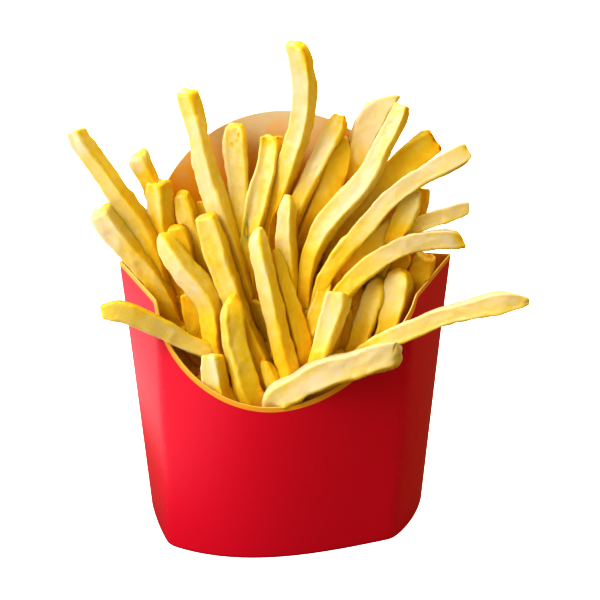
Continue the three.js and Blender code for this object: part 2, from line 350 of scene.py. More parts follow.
@dataclass(frozen=True)
class PrintedBoard:
    """Thin carton board: red lacquered print, a golden line along the edge, and a bare inside."""

    red: Triple = (0.71, 0.0075, 0.050)
    worn_red: Triple = (0.73, 0.011, 0.059)
    scuff: Triple = (0.90, 0.20, 0.18)
    line: Triple = (0.86, 0.43, 0.05)
    line_mm: float = 1.5
    cut_edge: Triple = (0.93, 0.66, 0.26)
    turned: Triple = (0.88, 0.52, 0.10)
    turned_mm: float = 0.9
    blur_mm: float = 0.08
    wander_mm: float = 0.25
    bare: Triple = (0.80, 0.75, 0.67)
    bare_dark: Triple = (0.74, 0.65, 0.53)
    grease: Triple = (0.66, 0.44, 0.22)
    # Orange of the lower inside: partly oil soak, partly painted warm light bounced off the fries
    # and painted shade near them.
    oil_soak_and_bounce_light: Triple = (0.86, 0.42, 0.02)
    soak_and_bounce_m: tuple[float, float] = (0.134, 0.104)
    soak_and_bounce_wander_m: tuple[float, float] = (0.006, 0.02)
    lobe_m: tuple[float, float] = (0.089, 0.087)
    rough: float = 0.72
    lacquer: float = 0.34
    fibre_mm: float = 0.02
    sheen: float = 0.28

    def material(self) -> bpy.types.Material:
        """Builds the material from the marks outside, rim, crease and cut of the board's mesh."""
        sheet = Sheet(bpy.data.materials.new("printed_board"))
        place = sheet.place()
        outside = sheet.mark("outside").between(0.4, 0.6)
        cut = sheet.mark("cut").between(0.4, 0.6)
        cloudy = sheet.noise(place, 14.0, 3.0)
        fibre = sheet.noise(place, 0.35, 4.0)
        scuffed = sheet.noise(place, 1.6, 5.0).between(0.52, 0.72) * sheet.mark("crease")
        greasy = sheet.noise(place, 9.0, 4.0).between(0.5, 0.66)
        red = sheet.blend((cloudy * 0.25).clamped(), self.red, self.worn_red)
        red = sheet.blend((scuffed * 0.12).clamped(), red, self.scuff)
        rim = sheet.mark("rim") + cloudy.about(self.wander_mm)
        printed = sheet.blend(self._band(rim, self.line_mm), red, self.line)
        bare = sheet.blend(fibre * 0.5 + cloudy * 0.4, self.bare, self.bare_dark)
        bare = sheet.blend(greasy * 0.22, bare, self.grease)
        height = sheet.height(place)
        below_lobe = height.between(*self.lobe_m)
        # Below a wandering height the inside turns orange: oil soak together with painted warm
        # bounce light and shade from the fries.
        soak_and_bounce_line = height + greasy.about(self.soak_and_bounce_wander_m[0]) + cloudy.about(self.soak_and_bounce_wander_m[1])
        bare = sheet.blend(soak_and_bounce_line.between(*self.soak_and_bounce_m), bare, self.oil_soak_and_bounce_light)
        bare = sheet.blend(self._band(rim, self.turned_mm) * below_lobe, bare, self.turned)
        edge = sheet.blend(below_lobe, self.bare, self.cut_edge)
        return sheet.finish(
            Base_Color=sheet.blend(cut, sheet.blend(outside, bare, printed), edge),
            Roughness=self.rough - outside * self.lacquer + fibre.about(0.12),
            Normal=sheet.bump(fibre * 0.7 + cloudy * 0.3, self.fibre_mm, 0.5),
            Specular_IOR_Level=self.sheen,
        )

    def _band(self, rim: Socket, width: float) -> Socket:
        """1 up to the given distance from the edge and 0 past it, with a slight blur."""
        return rim.between(width + self.blur_mm, width - self.blur_mm)


@dataclass(frozen=True)
class FriedPotato:
    """Crust of a fry: pale on its faces, golden at its edges and ends, with brown spots, and
    painted shade and light from its tone mark.
    """

    cream: Triple = (0.88, 0.75, 0.54)
    pale: Triple = (0.88, 0.72, 0.31)
    yellow: Triple = (0.88, 0.65, 0.055)
    golden: Triple = (0.87, 0.51, 0.008)
    brown: Triple = (0.42, 0.15, 0.006)
    clouds_mm: float = 5.0
    mottle_mm: float = 1.9
    grain_mm: float = 0.5
    spots_mm: float = 3.1
    relief_mm: float = 0.24
    rough: float = 0.36
    sheen: float = 0.42
    see_through: float = 0.7
    see_through_mm: float = 1.3
    see_through_tint: Triple = (1.0, 0.85, 0.3)

    def material(self) -> bpy.types.Material:
        """Builds the material from the marks tone, edge and fried of a fry's mesh."""
        sheet = Sheet(bpy.data.materials.new("fried_potato"))
        place = sheet.place()
        edge = sheet.mark("edge")
        fried = sheet.mark("fried")
        clouds = sheet.noise(place, self.clouds_mm, 3.0)
        mottle = sheet.noise(place, self.mottle_mm, 5.0)
        grain = sheet.noise(place, self.grain_mm, 3.0)
        spots = sheet.noise(place, self.spots_mm, 2.0).between(0.66, 0.78)
        # The tone mark carries painted shade and light: browner right faces, paler left faces, and
        # a darker golden deep in the heap.
        browned_and_shaded = sheet.mark("tone") + clouds.about(0.35) + mottle.about(0.4) + grain.about(0.22)
        browned_and_shaded = browned_and_shaded + edge * 0.05 + fried * (0.3 + mottle.about(0.9))
        stops = [
            (0.0, self.cream),
            (0.22, self.pale),
            (0.5, self.yellow),
            (0.8, self.golden),
            (1.0, self.brown),
        ]
        colour = sheet.ramp(browned_and_shaded.clamped(), stops)
        return sheet.finish(
            Base_Color=sheet.blend(spots * fried * 0.6, colour, self.brown),
            Roughness=self.rough + mottle.about(0.4) + edge * 0.05,
            Normal=sheet.bump(mottle * 0.5 + grain * 0.5, self.relief_mm, 0.8),
            Specular_IOR_Level=self.sheen,
            Subsurface_Weight=self.see_through,
            Subsurface_Radius=self.see_through_tint,
            Subsurface_Scale=self.see_through_mm * MM,
        )


@dataclass(frozen=True)
class StudioPaper:
    """The pale sheet that the carton stands on; it throws warm light back at the food."""

    white: Triple = (0.90, 0.90, 0.90)
    shaded: Triple = (0.88, 0.88, 0.88)
    warm: Triple = (0.20, 0.165, 0.11)
    tooth_mm: float = 2.0
    glow: float = 1.8

    def material(self) -> bpy.types.Material:
        """Builds a matte sheet that looks white to the camera and is warm and dim to the food."""
        sheet = Sheet(bpy.data.materials.new("studio_paper"))
        tooth = sheet.noise(sheet.place(), self.tooth_mm, 3.0)
        seen = sheet.ray("Camera")
        white = sheet.blend(tooth * 0.2, self.white, self.shaded)
        return sheet.finish(
            Base_Color=sheet.blend(seen, self.warm, white),
            Roughness=0.85,
            Specular_IOR_Level=0.1,
            Emission_Color=sheet.blend(seen, (0.0, 0.0, 0.0), (1.0, 1.0, 1.0)),
            Emission_Strength=self.glow,
        )


# ---- Carton ----


@dataclass
class Carton:
    """The folded board: a scooped, bulging front, two sides and a bowed back that ends in a lobe.

    Where a size has two numbers, they are for the bottom and the top, or for left and right.

    Attributes:
        board: thickness.
        shoulder_z: height of the two back corners; back_half and back_y are their x and y.
        back_bow: how far the middle of the back stands out behind its corners.
        lobe_r: radius of the lobe; lobe_x and lobe_z are its centre.
        crease_z: height of the scoop's two ends, on the front creases.
        front_half: half width of the front panel; front_x and front_y are its middle.
        front_bulge: how far the front stands out before its creases.
        front_skew: moves the bulge to the left.
        scoop_z: lowest point of the scoop; scoop_at is -1 at the left crease and 1 at the right.
        scoop_round: 1 is an ellipse and 0 a parabola.
        side_swell: how far a side panel swells out at the bottom.
        air: clear space between the fries and the board.
        foot_round: radius of the edge round the bottom.
        bevel: width of the rounded corners of the cut edge.
        columns: points between the creases' own, on half of the front and on half of a side.
        side_span: width of a side panel, for the spacing of its columns.
        climb: rows of the wall; foot_rows and lip_rows are the heights of more of them, as shares.
        sole_rings: rings of a face of the bottom.
        crease_reach: how far from a crease the columns stand close; crease_columns is how many.
        crease_rounds: how often the points near a crease are averaged.
        crease_soft: how much each time, at the front creases and at the back ones.
        crease_top: the share of that which is left at the edge.
        crease_worn: columns beside a crease that its wear reaches.
        rim_mm: greatest distance from the edge that is measured, on the last rim_rows rows only.
        caught_mm: how far outside the board a point of a fry is still moved back in.
    """

    board: float = 0.5
    shoulder_z: float = 84.0
    back_half: tuple[float, float] = (44.5, 52.5)
    back_y: tuple[float, float] = (9.5, 13.8)
    back_bow: float = 6.0
    lobe_r: float = 41.0
    lobe_z: float = 88.7
    lobe_x: float = -1.0
    crease_z: float = 79.2
    front_half: tuple[float, float] = (35.7, 39.8)
    front_x: tuple[float, float] = (-3.3, -1.0)
    front_y: tuple[float, float] = (-19.0, -9.2)
    front_bulge: tuple[float, float] = (10.0, 15.0)
    front_skew: tuple[float, float] = (0.18, 0.12)
    scoop_z: float = 50.2
    scoop_at: float = -0.1
    scoop_round: tuple[float, float] = (1.0, 0.5)
    side_swell: tuple[float, float] = (0.6, 1.8)
    air: float = 0.35
    foot_round: float = 0.9
    bevel: float = 0.07
    columns: tuple[int, int] = (40, 5)
    side_span: float = 28.0
    climb: int = 44
    foot_rows: tuple[float, ...] = (0.002, 0.005, 0.009, 0.014)
    lip_rows: tuple[float, ...] = (0.988, 0.994, 0.998, 1.0)
    sole_rings: int = 9
    crease_reach: float = 5.0
    crease_columns: int = 10
    crease_rounds: int = 26
    crease_soft: tuple[float, float] = (0.5, 0.05)
    crease_top: float = 0.12
    crease_worn: float = 3.0
    rim_mm: float = 9.0
    rim_rows: int = 16
    caught_mm: float = 8.0

    def back(self, t: Array, z: Array) -> Array:
        """Outside of the back panel: x = t times its half width, y bows out by 1 - t^2."""
        k = z / self.shoulder_z
        y = mix(*self.back_y, k) + self.back_bow * (1.0 - t * t)
        return np.stack(np.broadcast_arrays(t * mix(*self.back_half, k), y, z), axis=-1)

    def front(self, t: Array, z: Array) -> Array:
        """Outside of the front panel: y bulges out by 1 - s^2, where s is t moved by the skew."""
        k = z / self.crease_z
        s = t + mix(*self.front_skew, k) * (1.0 - t * t)
        x = mix(*self.front_x, k) + t * mix(*self.front_half, k)
        y = mix(*self.front_y, k) - mix(*self.front_bulge, k) * (1.0 - s * s)
        return np.stack(np.broadcast_arrays(x, y, z), axis=-1)

    def side(self, hand: int, r: Array, z: Array) -> Array:
        """Outside of a side panel: a line from the back corner to the crease, swollen by r(1-r).

        Args:
            hand: 1 for the right panel and -1 for the left.
            r: 0 at the back corner and 1 at the crease.
            z: height.

        Returns:
            Points.
        """
        a = self.back(np.full_like(z, hand), z)
        b = self.front(np.full_like(z, hand), z)
        out = self._normal(hand, b - a)
        most = self.side_swell[0 if hand < 0 else 1]
        swell = most * np.maximum(0.0, 1.0 - z / self.shoulder_z) * 4.0 * r * (1.0 - r)
        return mix(a, b, r[..., None]) + out * swell[..., None]

    def _normal(self, hand: int, along: Array) -> Array:
        """The level normal of a side panel, from the way along it to the front."""
        x, y = along[..., 0] * hand, along[..., 1] * hand
        return unit(np.stack([-y, x, 0.0 * x], axis=-1))

    def scoop(self, t: Array) -> Array:
        """Height of the front edge: between an ellipse and a parabola, on both sides of its low."""
        right = t > self.scoop_at
        past = t - self.scoop_at
        s = np.where(right, past / (1.0 - self.scoop_at), -past / (1.0 + self.scoop_at))
        s = np.clip(s, 0.0, 1.0)
        ellipse = 1.0 - np.sqrt(1.0 - s * s)
        rounding = np.where(right, self.scoop_round[1], self.scoop_round[0])
        return mix(self.scoop_z, self.crease_z, mix(s * s, ellipse, rounding))

    def back_edge(self) -> Array:
        """The back edge as x, z from the right corner over the lobe to the left one.

        The lobe is a half circle. A quarter circle joins it to the shoulder on each side, and the
        shoulder runs level to the corner.
        """
        fillet, r, z = self.lobe_z - self.shoulder_z, self.lobe_r, self.lobe_z
        a = np.linspace(0.0, math.pi / 2, 14)
        quarter = np.stack([r + fillet * (1 - np.sin(a)), z - fillet * np.cos(a)], -1)
        b = np.linspace(0.0, math.pi, 84)[1:-1]
        lobe = np.stack([r * np.cos(b), z + r * np.sin(b)], -1)
        mirrored = (quarter * [-1.0, 1.0])[::-1]
        arch = np.concatenate([quarter, lobe, mirrored]) + [self.lobe_x, 0.0]
        corner = self.back_half[1]
        near = corner - self._from_crease(corner - arch[0, 0], 4)
        far = -corner + self._from_crease(arch[-1, 0] + corner, 4)[::-1]
        level = np.full(len(near) - 1, self.shoulder_z)
        ends = [np.stack([x, level], -1) for x in (near[:-1], far[1:])]
        return np.concatenate([ends[0], arch, ends[1]])

    def _from_crease(self, length: float, middle: int) -> Array:
        """Distances from 0 to length that stand close together at the crease."""
        close = np.linspace(0.0, self.crease_reach, self.crease_columns + 1)
        return np.concatenate([close, np.linspace(self.crease_reach, length, middle + 1)[1:]])

    def _panel_shares(self, length: float, middle: int) -> Array:
        """Shares from 0 to 1 of a panel's width, close together at both creases; 1 is left out."""
        half = self._from_crease(length / 2, middle)
        return np.concatenate([half, (length - half[::-1])[1:]])[:-1] / length

    def loop(self, share: Array, lift: float = 0.0) -> tuple[Array, Array]:
        """The outside of the wall as rows of points round the carton.

        Row i lies a share of the way from the height lift to the edge. The four creases are rounded
        by averaging each point near them with its neighbours, the two at the front the most, and
        all of them less towards the edge.

        Args:
            share: one number a row, from 0 to 1.
            lift: height of the lowest row.

        Returns:
            Points, shape (rows, columns, 3), and a mark that is 1 on a crease and 0 away from it.
        """
        rows = share[:, None]
        t = 2.0 * self._panel_shares(2 * self.front_half[1], self.columns[0]) - 1.0
        front = self.front(t[None, :], mix(lift, self.scoop(t)[None, :], rows))
        r = self._panel_shares(self.side_span, self.columns[1])
        edge = mix(self.crease_z, self.shoulder_z, r)[None, :]
        right = self.side(1, *np.broadcast_arrays(1.0 - r[None, :], mix(lift, edge, rows)))
        arch = self.back_edge()
        t = arch[:, 0] / mix(*self.back_half, arch[:, 1] / self.shoulder_z)
        back = self.back(t[None, :], mix(lift, arch[None, :, 1], rows))
        edge = mix(self.shoulder_z, self.crease_z, r)[None, :]
        left = self.side(-1, *np.broadcast_arrays(r[None, :], mix(lift, edge, rows)))
        panels = [front, right, back, left[:, 1:]]
        around = np.concatenate(panels, axis=1)
        size = around.shape[1]
        starts = np.cumsum([0] + [p.shape[1] for p in panels])
        corners = starts[:4] - [0, 0, 0, 1]
        ahead = (np.arange(size) - corners[:, None]) % size
        apart = np.minimum(ahead, (size - ahead) % size).astype(float)
        crease = smooth(self.crease_worn, 0.0, apart.min(axis=0))
        near = smooth(self.crease_columns, self.crease_columns - 3.0, apart)
        soft = np.repeat(self.crease_soft, 2)[:, None]
        upper = mix(1.0, self.crease_top, smooth(0.55, 1.0, share))[:, None, None]
        moved = (near * soft).max(axis=0)[None, :, None] * upper
        for _ in range(self.crease_rounds):
            beside = (np.roll(around, 1, axis=1) + np.roll(around, -1, axis=1)) / 2
            around = mix(around, beside, moved)
        return around, crease[None, :]

    def inwards(self, around: Array) -> Array:
        """Level vectors that point into the carton, square to the wall."""
        step = np.roll(around, -1, axis=1) - np.roll(around, 1, axis=1)
        return unit(np.stack([-step[..., 1], step[..., 0], 0.0 * step[..., 0]], axis=-1))

    def build(self, material: bpy.types.Material) -> None:
        """Makes the board: outer wall, cut edge, inner wall and the two faces of the bottom."""
        mesh = Patchwork(("outside", "rim", "crease", "cut"))
        climb = np.linspace(0.0, 1.0, self.climb)
        share = np.concatenate([climb[:1], self.foot_rows, climb[1:-1], self.lip_rows])
        wall, crease = self.loop(share)
        foot = self.foot_round
        below = np.clip(foot - wall[..., 2:3], 0.0, foot)
        tuck = foot - np.sqrt(np.maximum(foot**2 - below**2, 0.0))
        inward = self.inwards(wall)
        outer = wall + inward * tuck
        outer[-1, :, 2] -= self.bevel
        edge = wall[-1]
        rim = self._distance(outer, edge)
        out = mesh.add(outer, {"outside": 1.0, "rim": rim, "crease": crease})
        lip = np.stack([edge + inward[-1] * k for k in (self.bevel, self.board - self.bevel)])
        top = mesh.add(lip, {"outside": 0.5, "crease": crease, "cut": 1.0})
        mesh.join(out[-1], top[0])
        inner_wall, crease = self.loop(share[::-1], self.board)
        inner = inner_wall + self.inwards(inner_wall) * self.board
        inner[0, :, 2] -= self.bevel
        rim = self._distance(inner[::-1], edge)[::-1]
        ins = mesh.add(inner, {"rim": rim, "crease": crease})
        mesh.join(top[1], ins[0])
        sole = mesh.add(self._sole(outer[0])[::-1], {"outside": 1.0, "rim": self.rim_mm})
        mesh.join(sole[-1], out[0])
        inside = mesh.add(self._sole(inner[-1]), {"rim": self.rim_mm})
        mesh.join(ins[-1], inside[0])
        made = mesh.piece("carton_board", material)
        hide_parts("carton")

    def _sole(self, ring: Array) -> Array:
        """Rings that shrink from inside the given one to its middle."""
        middle = ring.mean(axis=0)
        scale = np.linspace(1.0, 0.0, self.sole_rings)[1:, None, None]
        return middle + (ring - middle)[None, :, :] * scale

    def _distance(self, grid: Array, edge: Array) -> Array:
        """Distance of each point from the nearest point of the edge.

        Args:
            grid: rows of points, of which the last is nearest to the edge.
            edge: the edge as one closed row.

        Returns:
            One number a point, and rim_mm on the rows that are left out.
        """
        line = np.concatenate([mix(edge, np.roll(edge, -1, axis=0), k / 4) for k in range(4)])
        far = np.full(grid.shape[:2], self.rim_mm)
        near = grid[-self.rim_rows :]
        gap = np.linalg.norm(near[:, :, None, :] - line[None, None, :, :], axis=-1).min(axis=-1)
        far[-self.rim_rows :] = np.minimum(gap, self.rim_mm)
        return far

    def keep_clear(self, points: Array, over: bool) -> Array:
        """Moves points of a fry out of the board, where they are below the edge of a panel.

        A point gets at least the air gap from the board's inner face. On a fry that lies over the
        front edge, a point goes to the side of the front panel that it is nearer to. The front and
        back are measured along y, and a side along its level normal.

        Args:
            points: places in mm.
            over: whether the fry lies over the front edge.

        Returns:
            The moved places.
        """
        x, y, z = points[..., 0], points[..., 1], np.maximum(points[..., 2], 0.0)
        moved = points.copy()
        k = z / self.crease_z
        t = (x - mix(*self.front_x, k)) / mix(*self.front_half, k)
        face = self.front(np.clip(t, -1.0, 1.0), z)[..., 1]
        low = (np.abs(t) < 1.0) & (z < self.scoop(np.clip(t, -1, 1)) + self.air)
        depth = moved[..., 1] - face
        clear = self._aside(depth) if over else self._inside(depth)
        moved[..., 1] = np.where(low, clear, depth) + face
        k = z / self.shoulder_z
        t = x / mix(*self.back_half, k)
        face = self.back(np.clip(t, -1.0, 1.0), z)[..., 1]
        d = np.abs(x - self.lobe_x)
        arch = self.lobe_z + np.sqrt(np.maximum(self.lobe_r**2 - d * d, 0.0))
        top = np.where(d < self.lobe_r, arch, self.shoulder_z)
        low = (np.abs(t) < 1.0) & (z < top + self.air)
        depth = face - moved[..., 1]
        moved[..., 1] = face - np.where(low, self._inside(depth), depth)
        for hand in (-1, 1):
            zz = np.minimum(z, self.shoulder_z)
            one = np.ones_like(zz)
            a, b = self.side(hand, 0 * one, zz), self.side(hand, one, zz)
            along = b - a
            length2 = (along[..., :2] ** 2).sum(-1)
            r = ((moved - a)[..., :2] * along[..., :2]).sum(-1) / length2
            wall = self.side(hand, np.clip(r, 0.0, 1.0), zz)
            out = self._normal(hand, along)
            depth = -((moved - wall) * out).sum(-1)
            edge = mix(self.shoulder_z, self.crease_z, np.clip(r, 0.0, 1.0))
            low = (r > 0.0) & (r < 1.0) & (z < edge + self.air) & (not over)
            shift = np.where(low, self._inside(depth) - depth, 0.0)
            moved = moved - out * shift[..., None]
        return moved

    def _inside(self, depth: Array) -> Array:
        """A depth below the board's outer face, moved in past the board and its air."""
        return np.where(depth > -self.caught_mm, np.maximum(depth, self.board + self.air), depth)

    def _aside(self, depth: Array) -> Array:
        """A depth below the board's outer face, moved out of the board and the air round it."""
        middle = self.board / 2
        reach = middle + self.air
        from_middle = depth - middle
        out = np.where(from_middle < 0, -1.0, 1.0) * reach
        return np.where(np.abs(from_middle) < reach, out, from_middle) + middle


# ---- Fries ----


class End(Enum):
    """How the end of a fry that shows is finished."""

    CUT = "cut"
    ROUND = "round"
    TORN = "torn"

    @property
    def softness(self) -> float:
        """Radius of the shoulder as a share of the fry's half width."""
        return {"cut": 0.3, "round": 0.64, "torn": 0.4}[self.value]


class Spot(Enum):
    """Which bunch of the heap a fry is in."""

    BACK = "back"
    LEFT = "left"
    MIDDLE = "middle"
    RIGHT = "right"
    FRONT = "front"
    FILL = "fill"


@dataclass(frozen=True)
class Fry:
    """One fry, from its tip to its foot, where it goes out of sight.

    Attributes:
        depth: y at the tip and at the foot.
        stations: places along the middle line, each x, z and the width of a face there.
        turn: how far the section is rolled, in degrees; above 0 it shows its right face.
        tone: its colour from 0 pale to 1 brown.
        tip: what is added to the tone near the tip.
        tip_mm: how far from the tip that reaches.
        fried: how brown the rim of its end is.
        cut: slant of the tip; above 0 its left is the longer.
        groove: how deep its front face sinks, as a share of its half width.
        spots: scorched spots on its front face; each has its distance from the tip, its place from
            the left edge (-1) to the right one (1) and its radius.
        end: how its tip is finished.
        over: whether it lies over the front edge.
    """

    depth: tuple[float, float]
    stations: tuple[Triple, ...]
    turn: float = 14.0
    tone: float = 0.2
    tip: float = 0.0
    tip_mm: float = 7.2
    fried: float = 0.12
    cut: float = 0.0
    groove: float = 0.04
    spots: tuple[Triple, ...] = ()
    end: End = End.CUT
    over: bool = False

    @property
    def side(self) -> float:
        """The greatest width of a face."""
        return max(station[2] for station in self.stations)


